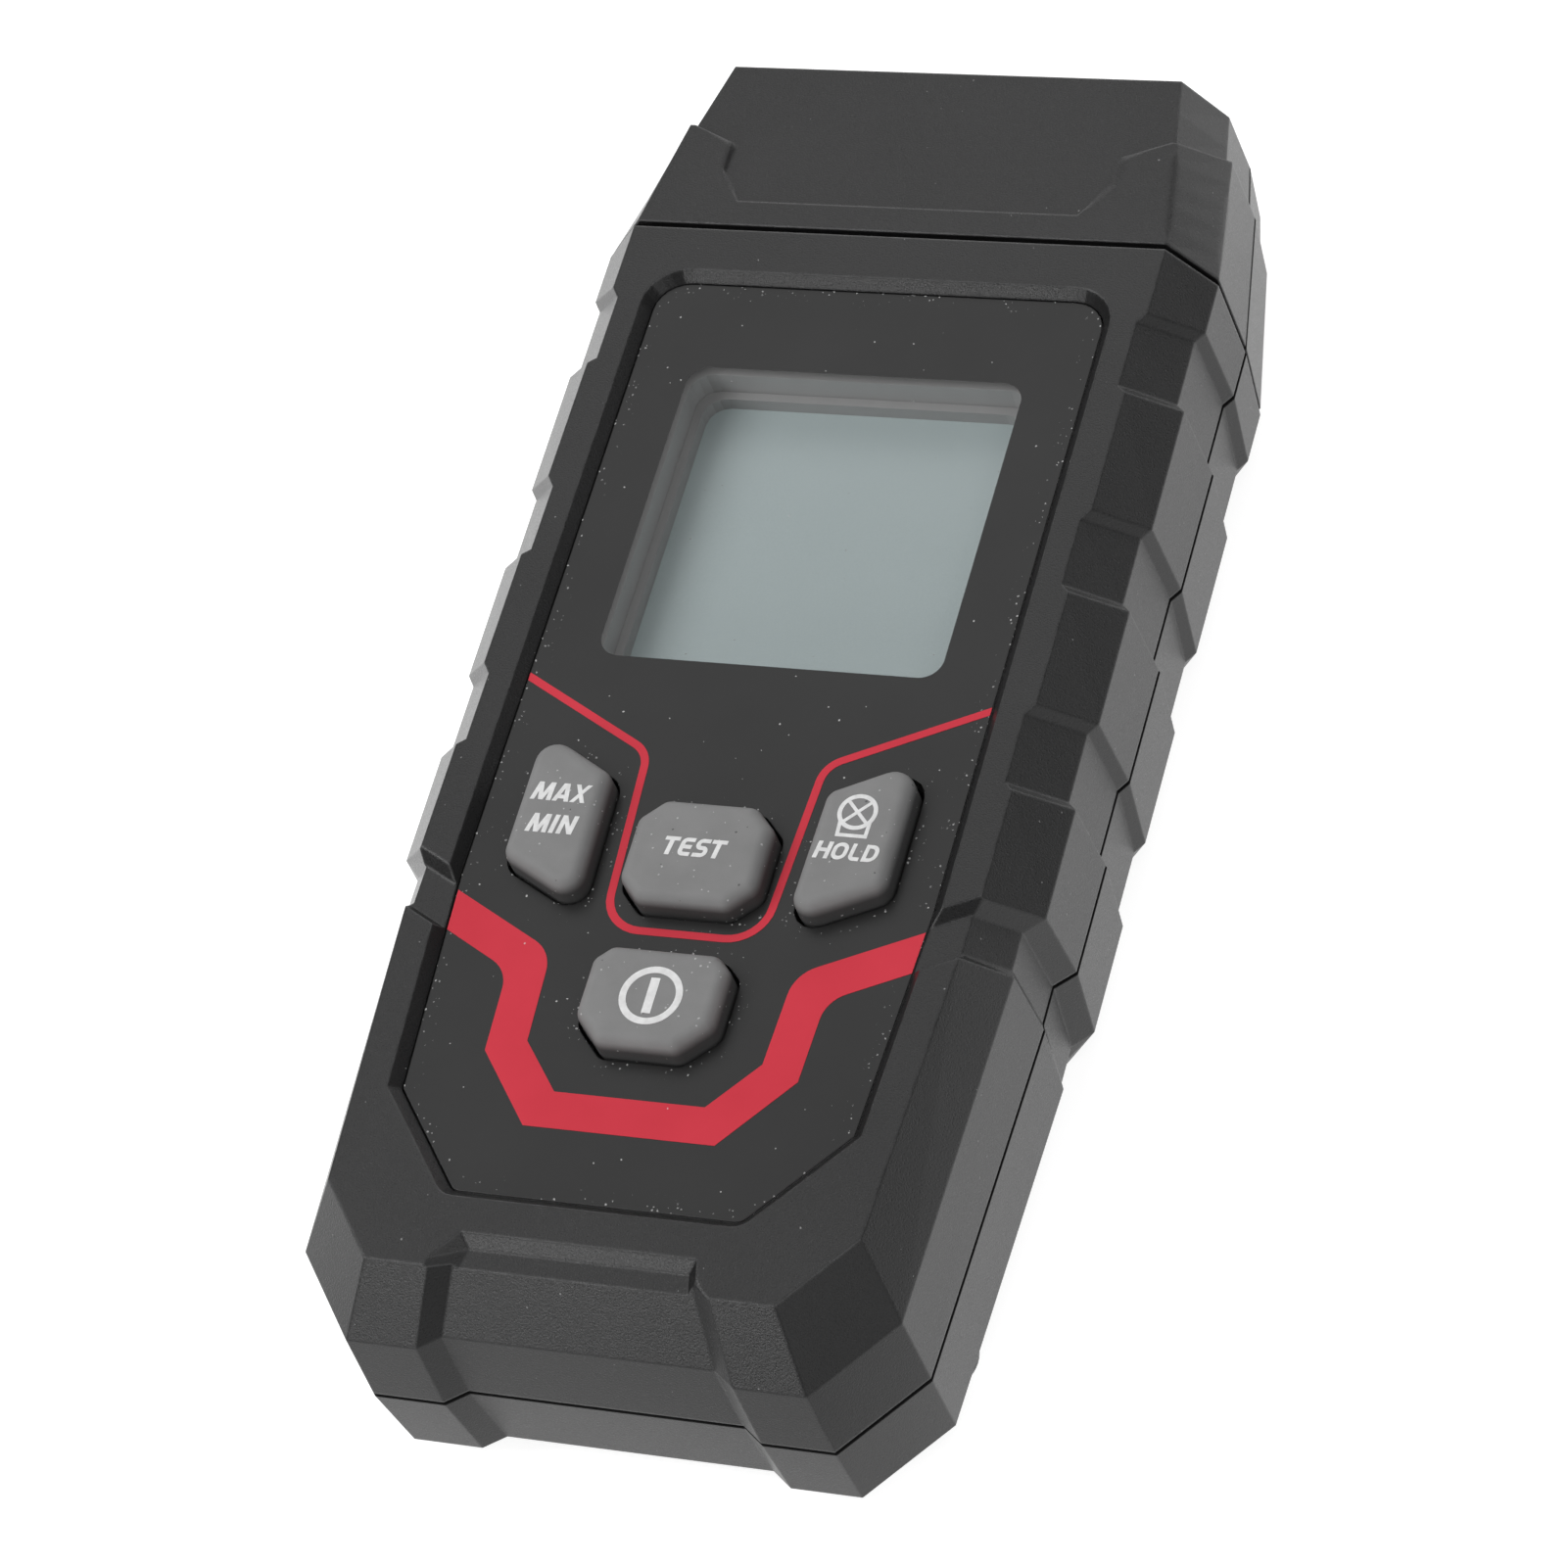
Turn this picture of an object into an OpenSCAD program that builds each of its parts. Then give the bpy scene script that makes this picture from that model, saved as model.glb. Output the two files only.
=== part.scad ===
// Laser tachometer lying on its back: +Z out of the front, +Y toward the head, +X to the right.
// The origin is the middle of the underside. Millimetres.

/* [Case] */
// Overall length, head cap included
body_l = 130.7; // [126:0.1:142]
// Overall width, across the parting line
body_w = 58.4; // [57:0.2:66]
// Wall of the mouldings
wall = 2; // [1.6:0.1:2.4]
// Height of the parting line above the back
part_z = 12.4; // [11:0.1:13.5]
// Dark shadow gap between the mouldings
shadow_gap = 0.35; // [0.2:0.05:0.6]
// Depth of that gap
shadow_depth = 0.9; // [0.5:0.1:1.2]
// Width of the chamfer round the raised front
chamfer_w = 4.3; // [3.4:0.1:5]
// Height of that chamfer at the head
chamfer_h = 4.8; // [4:0.1:5.4]
// How much further down the chamfer reaches at the foot
chamfer_fall = 1.2; // [0:0.1:1.6]
// Draft of the side faces, as a share of the chamfer
side_draft = 0.115; // [0.05:0.005:0.15]
// Height of the chamfer round the back
back_chamfer_h = 3.5; // [2.4:0.1:4.5]
// Width of the back chamfer, as a share of the front one
back_chamfer = 0.85; // [0.6:0.05:1]

/* [Grip] */
// Depth of the grip notches
grip_depth = 0.75; // [0.4:0.05:1.1]
// Distance from one notch to the next
grip_pitch = 20.75; // [18:0.25:21.5]
// How much nearer the last notch lies to the one above it
grip_close = 1; // [0:0.1:1.5]
// Length of a notch, ramp and step included
grip_l = 8.4; // [6:0.1:10]
// Length of the ramp at its upper end
grip_ramp = 1.05; // [0.6:0.05:1.6]
// Length of the step at its lower end
grip_step = 0.6; // [0.3:0.05:1]
// Distance from the head seam to the first notch, on the front face
grip_start = 7; // [5:0.1:9]
// How far the notches lean toward the head, front face to parting line
grip_lean = 2.2; // [0:0.1:3]
// The same lean where the chamfer ends
foot_lean = 1.85; // [0:0.05:2.4]

/* [Foot] */
// Length of the narrower lower section
low_l = 37.8; // [34:0.1:41]
// How much narrower it is at its top, each side
low_in = 1.45; // [1:0.05:2]
// How much narrower it gets toward the foot, each side
low_taper = 1.4; // [0.6:0.1:2]
// Width of the chamfer on the lower section
low_chamfer_w = 3.3; // [2.6:0.1:4]
// Length of the waist between the two sections
waist_l = 5.7; // [4:0.1:7]
// Length of the ramp at its upper end
waist_ramp = 1.55; // [1:0.05:2]
// How much deeper the waist is than the lower section
waist_in = 0.25; // [0.2:0.05:0.8]
// Depth of the waist across the front rim, as a share of the panel's
waist_share = 0.9; // [0.5:0.05:0.95]
// Slant of the waist across the front rim, as a slope
waist_slant = 0.49; // [0.2:0.01:0.7]
// Width of the cut corners at the foot
corner_w = 6.15; // [4:0.1:8]
// Length of those corners
corner_l = 7.45; // [5:0.1:9]
// Length of the chamfer at the foot
end_chamfer_l = 5.2; // [4:0.1:6]
// Half width of the channel's floor in the foot
channel_w = 12.05; // [9:0.1:13]
// Depth of that channel
channel_depth = 1.3; // [0.8:0.1:1.8]
// How far the channel runs over the front face
channel_run = 3.3; // [2:0.1:5]

/* [Head] */
// Length of the head cap
head_l = 20.8; // [20:0.1:24]
// Dark gap between the case and the head cap
seam_gap = 0.65; // [0.3:0.05:0.8]
// How much the nose narrows, each side
nose_in = 4.3; // [2:0.1:5]
// How much wider than that its front face stays
nose_face = 0.6; // [0:0.1:1]
// How much the nose drops at the front and the back
nose_drop = 1.85; // [0.8:0.05:2.4]
// How much further down its chamfer reaches
nose_steep = 0.8; // [0:0.1:1.2]
// How far its sides stand out past its front edge
nose_lean = 0.7; // [0:0.1:1.2]
// Length of the raised collar, at the front
collar_l = 12.1; // [9:0.1:12.5]
// How much longer the collar is at its sides
collar_lean = 2.9; // [1:0.1:3.2]
// How proud the collar stands of the nose at its end
collar_proud = 0.6; // [0.3:0.05:0.8]
// Half width of the nose panel in the collar's front
collar_gap_w = 18.4; // [15:0.1:19.5]
// Distance from the seam to the nose panel
collar_gap_y = 3.4; // [2.5:0.1:5]
// How far the cap's sleeve reaches into the case
sleeve_l = 3; // [2:0.1:4]

/* [Display] */
// Width of the clear window
window_w = 31.1; // [28:0.1:32]
// Height of the clear window
window_h = 30.7; // [28:0.1:32]
// Corner radius of the window
window_r = 2; // [1:0.1:4]
// Distance from the top of the panel to the middle of the window
window_drop = 24.3; // [22:0.1:27]
// Drop from the face of the panel to the display glass
lcd_drop = 5.2; // [4.6:0.1:6.5]
// Thickness of the display glass
lcd_t = 2; // [1.4:0.1:2.6]
// Thickness of the light guide behind it
light_t = 1.8; // [1.2:0.1:2.4]
// Wall of the display frame
bezel_wall = 1; // [0.8:0.1:1.2]
// Room for the glass round the window
lcd_margin = 1.3; // [1:0.1:1.6]

/* [Panel] */
// Thickness of the front panel
panel_t = 1.2; // [0.8:0.1:1.6]
// How far the panel's face lies below the rim
panel_sink = 1; // [0.6:0.1:1.2]
// Width of the panel
panel_w = 41.8; // [40:0.2:44]
// Width of the panel's lower end
panel_low_w = 24.9; // [20:0.1:30]
// Width of the panel above its lower corners
panel_mid_w = 39.4; // [36:0.1:40]
// Length of the lower corners
panel_corner_l = 8.7; // [6:0.1:10]
// Corner radius at the panel's top
panel_r = 3; // [1.5:0.1:5]
// Corner radius at the panel's foot
panel_foot_r = 1; // [0.5:0.1:2]
// Distance from the head seam to the panel
panel_top_gap = 5.5; // [5.4:0.1:7]
// Distance from the foot to the panel
panel_foot_gap = 12.6; // [11:0.1:15]
// Width of the sloping wall round the panel
slope_w = 0.9; // [0.6:0.1:1.4]

/* [Keys] */
// How far the keys stand above the front rim
key_proud = 1.5; // [0.5:0.1:2.5]
// Width of the two middle keys
key_w = 12.2; // [10:0.1:13]
// Height of the test key
test_h = 10; // [8:0.1:10.5]
// Height of the power key
power_h = 9.4; // [8:0.1:10]
// Distance from the window's middle to the test key
test_drop = 35.3; // [34:0.1:37]
// Distance from the test key to the power key
power_drop = 14; // [13.4:0.1:15]
// Cut corners of the middle keys
key_cut = 2.1; // [1:0.1:2.6]
// Distance from the middle to a side key
side_key_x = 9.2; // [9:0.1:10]
// Width of a side key
side_key_w = 7.8; // [6:0.1:8.4]
// Height of a side key's edge
side_key_h = 12.7; // [10:0.1:13.2]
// How much further up a side key lies than the test key
side_key_up = 2.6; // [2:0.1:3]
// How much a side key slants over its width
side_key_slant = 3.9; // [2:0.1:5]
// Rounding of the keys' corners, in plan
key_r = 1.1; // [0.5:0.1:1.6]
// Gap round a key in its hole
key_gap = 0.3; // [0.25:0.05:0.4]
// Width of the flange that keeps a key in
key_flange = 1; // [0.6:0.1:1]
// Travel of a key
key_travel = 0.5; // [0.3:0.1:0.6]

/* [Electronics] */
// Thickness of the boards
board_t = 1.6; // [1.2:0.2:1.6]
// Room between the board and the battery bay
board_room = 1; // [0.6:0.1:2]
// Width of a switch
switch_w = 6; // [5:0.1:6.5]
// Height of a switch's body
switch_h = 3.5; // [3:0.1:3.8]
// Diameter of a switch's plunger
plunger_d = 3.4; // [2.6:0.1:4]
// Diameter of the buzzer
buzzer_d = 12; // [9:0.5:14]
// Height of the buzzer
buzzer_h = 5; // [3:0.5:6]
// Width of the controller chip
chip_w = 10; // [7:0.5:12]
// Thickness of the controller chip
chip_t = 1.6; // [1:0.1:2]
// Pitch of the pins between the boards
pin_pitch = 2.5; // [2:0.1:2.6]

/* [Optics] */
// Diameter of the receiver lens
lens_d = 15; // [12:0.5:16]
// Distance from the middle to the receiver lens
lens_x = 8; // [7:0.5:10]
// Diameter of the laser barrel
laser_d = 9; // [8:0.2:10]
// Distance from the middle to the laser
laser_x = 9.5; // [9:0.5:11]
// Diameter of the laser's opening
laser_hole_d = 5; // [3:0.2:6]
// Wall of the two tubes that hold them
tube_wall = 1.5; // [1:0.1:1.6]
// Thickness of the nose's end wall
nose_wall = 3; // [2.4:0.1:3.4]

/* [Battery] */
// Distance from the foot to the battery bay
bay_foot_gap = 17; // [16:0.5:19]
// Diameter of a cell
cell_d = 10.5; // [10:0.1:11]
// Length of a cell, button included
cell_l = 44.5; // [42:0.5:46]
// Gap round a cell
cell_gap = 0.4; // [0.3:0.05:0.6]
// Length of a contact spring
spring_l = 4.5; // [3.5:0.1:6]
// Thickness of the contact plates
contact_t = 0.4; // [0.3:0.05:0.6]
// Thickness of the door
door_t = 1.6; // [1.2:0.1:1.6]
// How far the door lies inside the back face
door_sink = 0.25; // [0.2:0.05:0.4]
// Gap round the door
door_gap = 0.25; // [0.2:0.05:0.4]
// Ledge that the door covers round the bay
door_ledge = 0.8; // [0.6:0.1:1]
// Length of the door past the bay, at its finger ribs
door_lip = 2.2; // [1.6:0.1:3]
// Length of the door past the bay, at its lugs
door_toe = 5; // [4.6:0.1:6]
// Width of a door lug
lug_w = 5; // [3:0.2:8]
// Length of a door lug
lug_l = 2; // [1.4:0.1:2.2]

/* [Fasteners] */
// Distance from the head seam to the upper case screws
screw_seam_gap = 8.1; // [8:0.1:10]
// Distance from the foot to the lower case screws
screw_foot_gap = 15; // [14:0.5:17]
// Shank diameter of the case screws
screw_d = 2.6; // [2:0.1:3]
// Head diameter of the case screws
screw_head_d = 4.8; // [4:0.1:5]
// Shank diameter of the small screws
small_screw_d = 2; // [1.6:0.1:2.2]
// Gap round a shank in its hole
screw_gap = 0.1; // [0.08:0.02:0.2]

/* [Hidden] */
$fn = 48;
slack = 0.15;
over = 1;

// Heights, stacked up from the back
door_z = door_sink;
cell_z = door_z + door_t + cell_gap + cell_d / 2;
roof_t = 1.3;
roof_z = cell_z + cell_d / 2 + cell_gap;
board_z = roof_z + roof_t + board_room;
board_top = board_z + board_t;
light_top = board_top + light_t;
lcd_top = light_top + lcd_t;
panel_top_z = lcd_top + lcd_drop;
body_t = panel_top_z + panel_sink;
seat_z = panel_top_z - panel_t;
roof_in_z = seat_z - wall;

// Lengths
half_w = body_w / 2;
foot_y = -body_l / 2;
nose_y = body_l / 2;
seam_y = nose_y - head_l;
low_y = foot_y + low_l;
waist_y = low_y + waist_l;
panel_top_y = seam_y - panel_top_gap;
panel_foot_y = foot_y + panel_foot_gap;
window_y = panel_top_y - window_drop;
test_y = window_y - test_drop;
power_y = test_y - power_drop;
side_key_y = test_y + side_key_up;

// Helpers for outlines
function unit(v) = v / norm(v);
function mix(a, b, t) = a + (b - a) * t;
function flip(pts) = [for (i = [len(pts) - 1 : -1 : 0]) [-pts[i].x, pts[i].y]];
function both(pts) = concat(pts, flip(pts));
function ring(pts, z) = [for (p = pts) [p.x, p.y, z]];
function box_pts(w, h) = [[-w / 2, -h / 2], [w / 2, -h / 2], [w / 2, h / 2], [-w / 2, h / 2]];
function at(pts, x, y) = [for (p = pts) [p.x + x, p.y + y]];

// Moves every edge of a counter-clockwise outline inward by d
function inset(pts, d) =
    let (n = len(pts))
    [for (i = [0 : n - 1])
        let (
            u = unit(pts[i] - pts[(i + n - 1) % n]),
            v = unit(pts[(i + 1) % n] - pts[i]),
            a = [-u.y, u.x],
            b = [-v.y, v.x]
        )
        pts[i] + d * (a + b) / (1 + a * b)];

// One rounded corner of an outline, as n + 1 points on its arc
function corner_arc(a, p, b, r, n) =
    let (
        u = unit(a - p),
        v = unit(b - p),
        half = acos(u * v) / 2,
        centre = p + unit(u + v) * r / sin(half),
        start = p + u * r / tan(half) - centre,
        turn = (180 - 2 * half) * (u.x * v.y - u.y * v.x > 0 ? -1 : 1)
    )
    [for (k = [0 : n])
        let (w = turn * k / n)
        centre + [start.x * cos(w) - start.y * sin(w), start.x * sin(w) + start.y * cos(w)]];

function rounded(pts, r, n = 4) =
    let (m = len(pts))
    [for (i = [0 : m - 1]) each corner_arc(pts[(i + m - 1) % m], pts[i], pts[(i + 1) % m], r, n)];

// Skin through rings of equal length, from the lowest to the highest; ends lists the faces of an end
module loft(rings, ends) {
    n = len(rings[0]);
    last = len(rings) - 1;
    low = is_undef(ends) ? [[for (i = [0 : n - 1]) i]] : ends;
    polyhedron(
        points = [for (r = rings) each r],
        faces = concat(
            low,
            [for (f = low) [for (i = [len(f) - 1 : -1 : 0]) last * n + f[i]]],
            [for (k = [0 : last - 1], i = [0 : n - 1])
                let (a = k * n + i, b = k * n + (i + 1) % n)
                each [[a, a + n, b + n], [a, b + n, b]]]
        )
    );
}

module prism(pts, z, h) {
    translate([0, 0, z]) linear_extrude(h) polygon(pts);
}

module rod(d, z, h) {
    translate([0, 0, z]) cylinder(d = d, h = h);
}

// A rod along Y from y to y + l, at height z
module rod_y(d, y, l, z) {
    translate([0, y, z]) rotate([-90, 0, 0]) cylinder(d = d, h = l);
}

module twice() {
    children();
    mirror([1, 0, 0]) children();
}

// Plan of the case at one level: t is the share of the chamfer reached, lean moves the notches
function notch_y(i, lean) =
    seam_y - grip_start - i * grip_pitch + (i == notches - 1 ? grip_close : 0) + lean;
function notch_pts(x, y) = [
    [x, y - grip_l],
    [x - grip_depth, y - grip_l + grip_step],
    [x - grip_depth, y - grip_ramp],
    [x, y]
];
low_top_x = half_w - low_in;
low_foot_x = low_top_x - low_taper;
corner_in_x = 2.55;
corner_in_y = 4.4;
channel_in = 1.85;
notches = 3;
function side_pts(t, lean) =
    let (
        y = foot_y + end_chamfer_l * t,
        x = half_w - chamfer_w * t,
        low_x = low_chamfer_w * t,
        waist_x = low_top_x - waist_in - (low_x + chamfer_w * t) / 2,
        channel_x = channel_w - channel_in * t
    )
    concat(
        [
            [channel_x, y + channel_depth],
            [channel_x + channel_in, y],
            [low_foot_x - corner_w - corner_in_x * t, y],
            [low_foot_x - low_x, foot_y + corner_l + corner_in_y * t],
            [low_top_x - low_x, low_y + lean],
            [waist_x, low_y + grip_step + lean],
            [waist_x, waist_y - waist_ramp + lean],
            [x, waist_y + lean]
        ],
        [for (i = [notches - 1 : -1 : 0]) each notch_pts(x, notch_y(i, lean))],
        [[x, seam_y]]
    );
function case_pts(t, lean) = both(side_pts(t, lean));
function foot_z(y) = body_t - chamfer_h - chamfer_fall * (seam_y - y) / (seam_y - foot_y);
function foot_ring(pts) = [for (p = pts) [p.x, p.y, foot_z(p.y)]];

// Faces that close the case's outline: two legs beside the foot channel, then a strip from side to side
case_n = 2 * len(side_pts(0, 0));
case_ends = concat(
    [[0, 1, 2], [0, 2, 3], [case_n - 3, case_n - 2, case_n - 1], [case_n - 4, case_n - 3, case_n - 1]],
    [[0, 3, case_n - 4, case_n - 1]],
    [for (i = [3 : case_n / 2 - 2]) [i, i + 1, case_n - 2 - i, case_n - 1 - i]]
);
module case_loft(rings) {
    loft(rings, case_ends);
}

part_pts = case_pts(0, grip_lean);
edge_pts = case_pts(side_draft, foot_lean);
front_pts = case_pts(1, 0);
back_pts = case_pts(back_chamfer, 0);

// Sections of the head cap, listed up one side from the back to the front and down the other
back_in = back_chamfer * chamfer_w;
draft_in = side_draft * chamfer_w;
function head_side(t) =
    let (x = half_w - nose_in * t, drop = nose_drop * t)
    [
        [x - back_in, drop],
        [x - draft_in, back_chamfer_h + drop],
        [x, part_z],
        [x - draft_in, body_t - chamfer_h - drop - nose_steep * t],
        [x - chamfer_w + nose_face * t, body_t - drop]
    ];
function nose_pts(y) = both(head_side((y - seam_y) / head_l));
function section_ring(pts, y) = [for (i = [len(pts) - 1 : -1 : 0]) [pts[i].x, y, pts[i].y]];

// The same section grown outward, with all but its two front points moved along by lean
head_n = 10;
function head_pt(i, y, grow) = let (p = inset(nose_pts(y), -grow)[i]) [p.x, y, p.y];
function head_ring(y, lean, grow) =
    [for (i = [head_n - 1 : -1 : 0]) head_pt(i, y + (abs(i - (head_n - 1) / 2) < 1 ? 0 : lean), grow)];

// Faces that close such a ring: its slanting front part, then the rest
head_ends = [[3, 4, 5, 6], [0, 1, 2, 3, 6, 7, 8, 9]];
// The loft between two such rings goes by strips, so that its twisted chamfers bend evenly
head_strips = 5;
module head_loft(a, b) {
    loft([for (k = [0 : head_strips]) mix(a, b, k / head_strips)], head_ends);
}

collar_end_y = seam_y + collar_l;
collar_side_y = collar_end_y + collar_lean;
nose_front_y = nose_y - nose_lean;

// Battery bay
cell_pitch = cell_d + cell_gap;
bay_half_w = cell_pitch + cell_d / 2 + cell_gap;
bay_l = cell_l + spring_l + 2 * contact_t;
bay_low_y = foot_y + bay_foot_gap;
bay_up_y = bay_low_y + bay_l;
bay_wall = 1.6;
bay_out_w = bay_half_w + bay_wall + door_ledge;
floor_z = door_z + door_t + slack / 2;
door_low_y = bay_low_y - door_toe;
door_up_y = bay_up_y + door_lip;
door_half_w = bay_half_w + door_ledge;
lug_in = 2;
lug_x = door_half_w - lug_w - lug_in;
lug_lift = 0.35;
lug_z = wall + lug_lift;
lug_t = 1;
lug_root = 1.2;
lug_rise = lug_z + lug_t - door_z;
pocket_room = 0.4;

// Screw places, beside the battery bay
boss_wall = 1.9;
boss_d = screw_d + 2 * boss_wall;
boss_tip_d = boss_d - 1.8;
boss_tip_l = 1.4;
case_screw_x = bay_out_w + boss_d / 2 + slack;
case_screw_up_y = seam_y - screw_seam_gap;
case_screw_low_y = foot_y + screw_foot_gap;
case_screw_at = [
    [case_screw_x, case_screw_up_y], [-case_screw_x, case_screw_up_y],
    [case_screw_x, case_screw_low_y], [-case_screw_x, case_screw_low_y]
];
head_room = 3.2;
screw_l = 13;
pillar_d = small_screw_d + 3;
board_screw_gap = 2;
bezel_up_y = window_y + window_h / 2 + lcd_margin + bezel_wall;
board_screw_up = [16, bezel_up_y + pillar_d / 2 + board_screw_gap];
board_head_d = small_screw_d * 1.6;
board_screw_drop = 10.8;
board_screw_low = [bay_out_w + board_head_d / 2 + slack, test_y - board_screw_drop];
board_screw_at = [
    board_screw_up, [-board_screw_up.x, board_screw_up.y],
    board_screw_low, [-board_screw_low.x, board_screw_low.y]
];

// Panel outline: side and foot are how far it is grown there
panel_mid_y = panel_foot_y + panel_corner_l;
panel_bend_y = waist_y - waist_ramp;
function panel_pts(side, foot) =
    let (
        y = panel_top_y + side,
        x = panel_w / 2 + side,
        low = [panel_low_w / 2 + foot / 2, panel_foot_y - foot],
        mid = [panel_mid_w / 2 + (side + foot) / 2, panel_mid_y - foot / 2],
        bend = [x, panel_bend_y]
    )
    both(concat(
        corner_arc([-low.x, low.y], low, mid, panel_foot_r + foot, 3),
        [mid, bend],
        corner_arc(bend, [x, y], [-x, y], panel_r + side, 6)
    ));

// Key outlines
function cut_box(w, h, up, down) = [
    [-w / 2 + down, -h / 2], [w / 2 - down, -h / 2], [w / 2, -h / 2 + down], [w / 2, h / 2 - up],
    [w / 2 - up, h / 2], [-w / 2 + up, h / 2], [-w / 2, h / 2 - up], [-w / 2, -h / 2 + down]
];
function side_key_pts() =
    let (
        in = side_key_x,
        out = side_key_x + side_key_w,
        up = side_key_y + side_key_h / 2,
        down = side_key_y - side_key_h / 2
    )
    [
        [in, down - side_key_slant / 2],
        [out, down + side_key_slant / 2],
        [out, up + side_key_slant / 2],
        [in + 0.4, up - side_key_slant / 2]
    ];
test_pts = at(rounded(cut_box(key_w, test_h, key_cut, key_cut), key_r), 0, test_y);
power_pts = at(rounded(cut_box(key_w, power_h, key_cut * 0.7, key_cut * 1.25), key_r), 0, power_y);
hold_pts = rounded(side_key_pts(), key_r * 1.5, 5);
max_min_pts = flip(hold_pts);
side_switch = [side_key_x + side_key_w / 2, side_key_y];
switch_at = [[0, test_y], [0, power_y], side_switch, [-side_switch.x, side_switch.y]];
key_top = body_t + key_proud;
key_lift = 0.3;
flange_t = 1;
flange_top = roof_in_z - key_lift;
key_base = flange_top - flange_t;
switch_top = board_top + switch_h;

// Optics
optic_z = body_t / 2 - 0.3;
end_wall_y = nose_front_y - nose_wall;
plate_t = 2;
optic_board_gap = 3.7;
optic_board_y = seam_y + optic_board_gap;
tube_y = optic_board_y + board_t;
tube_l = end_wall_y - tube_y;
optic_gap = 0.1;
post_d = small_screw_d + 2.6;
post_out = half_w - nose_in - wall - optic_gap;
post_x = [post_d / 2 - post_out, post_out - post_d / 2];

// Cases
module key_holes(grow) {
    for (pts = [test_pts, power_pts, hold_pts, max_min_pts])
        prism(inset(pts, -grow), roof_in_z - over, body_t);
}

module shadow_line() {
    translate([0, 0, part_z - over]) linear_extrude(shadow_gap + over) difference() {
        polygon(inset(part_pts, -over));
        polygon(inset(part_pts, shadow_depth));
    }
}

// How much a slope that is w wide over a height of h has grown once it has passed the face by over
function past(w, h) = w * (h + over) / h;

module panel_recess() {
    grown = panel_pts(slack, slack);
    slope = past(slope_w, panel_sink);
    wide = panel_pts(slope, slope);
    loft([ring(grown, seat_z), ring(grown, panel_top_z), ring(wide, body_t + over)]);
}

module front_channel() {
    depth = 1;
    slope = past(1, depth);
    in_y = foot_y + end_chamfer_l + channel_run - 1;
    out_y = foot_y + end_chamfer_l - over;
    top = channel_w - channel_in;
    low = [[top, out_y], [top - 0.7, in_y]];
    high = [[top + slope * (channel_in + 0.6), out_y], [top - 0.7 + slope * 0.7, in_y + slope]];
    loft([ring(both(low), body_t - depth), ring(both(high), body_t + over)]);
}

// Where the waist crosses the front rim, slanting down toward the panel
module waist_strip() {
    sink = waist_share * panel_sink;
    up = waist_y - grip_ramp;
    down = low_y + grip_step;
    profile = [
        [down - past(grip_step, sink), over], [down, -sink],
        [up, -sink], [up + past(grip_ramp, sink), over]
    ];
    edge_x = low_top_x - low_chamfer_w;
    function across(x) = [for (p = profile) [x, p.x + waist_slant * (x - edge_x), body_t + p.y]];
    twice() loft([across(panel_mid_w / 2), across(half_w)]);
}

// Opening in the case's end that the cap's sleeve slides into
module sleeve_room() {
    section = inset(nose_pts(seam_y), wall - slack);
    y = seam_y - sleeve_l - slack * 2;
    loft([section_ring(section, y), section_ring(section, seam_y + over)]);
}

cavity_t = side_draft + (roof_in_z - foot_z(seam_y)) / chamfer_h;
module front_cavity() {
    top = case_pts(max(side_draft, cavity_t), foot_lean);
    case_loft([
        ring(inset(part_pts, wall), part_z - over), ring(inset(part_pts, wall), part_z + over),
        ring(inset(top, wall * 1.15), roof_in_z)
    ]);
}

module front_shell() {
    difference() {
        case_loft([ring(part_pts, part_z), foot_ring(edge_pts), ring(front_pts, body_t)]);
        front_cavity();
        shadow_line();
        panel_recess();
        front_channel();
        waist_strip();
        sleeve_room();
        key_holes(key_gap);
        prism(at(rounded(box_pts(bezel_w, bezel_h), window_r), 0, window_y), roof_in_z - over, body_t);
    }
}

module front_case() {
    color("#3d3d3f") difference() {
        union() {
            front_shell();
            for (p = case_screw_at) translate(p) {
                rod(boss_d, part_z, roof_in_z - boss_tip_l - part_z);
                rod(boss_tip_d, part_z, roof_in_z - part_z + slack);
            }
            for (p = board_screw_at) translate(p) rod(pillar_d, board_top, roof_in_z - board_top + slack);
        }
        for (p = case_screw_at) translate(p) rod(screw_d + 2 * screw_gap, part_z - over, screw_l - 3);
        for (p = board_screw_at) translate(p) rod(small_screw_d + 2 * screw_gap, board_top - over, 5.5);
    }
}

module rear_shell() {
    low_t = mix(back_chamfer, side_draft, wall / back_chamfer_h);
    difference() {
        case_loft([ring(back_pts, 0), ring(edge_pts, back_chamfer_h), ring(part_pts, part_z)]);
        case_loft([
            ring(inset(case_pts(low_t, foot_lean), wall), wall),
            ring(inset(edge_pts, wall), back_chamfer_h + wall / 2),
            ring(inset(part_pts, wall), part_z + over)
        ]);
        sleeve_room();
    }
}

module bay_block() {
    w = 2 * bay_out_w;
    swing = norm([lug_l, lug_rise]);
    translate([-w / 2, bay_low_y - bay_wall, floor_z])
        cube([w, bay_l + 2 * bay_wall + door_ledge, roof_z + roof_t - floor_z]);
    translate([-w / 2, door_low_y - lug_l - bay_wall, floor_z])
        cube([w, bay_low_y - door_low_y + lug_l + bay_wall, door_z + swing + pocket_room + over - floor_z]);
}

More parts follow.
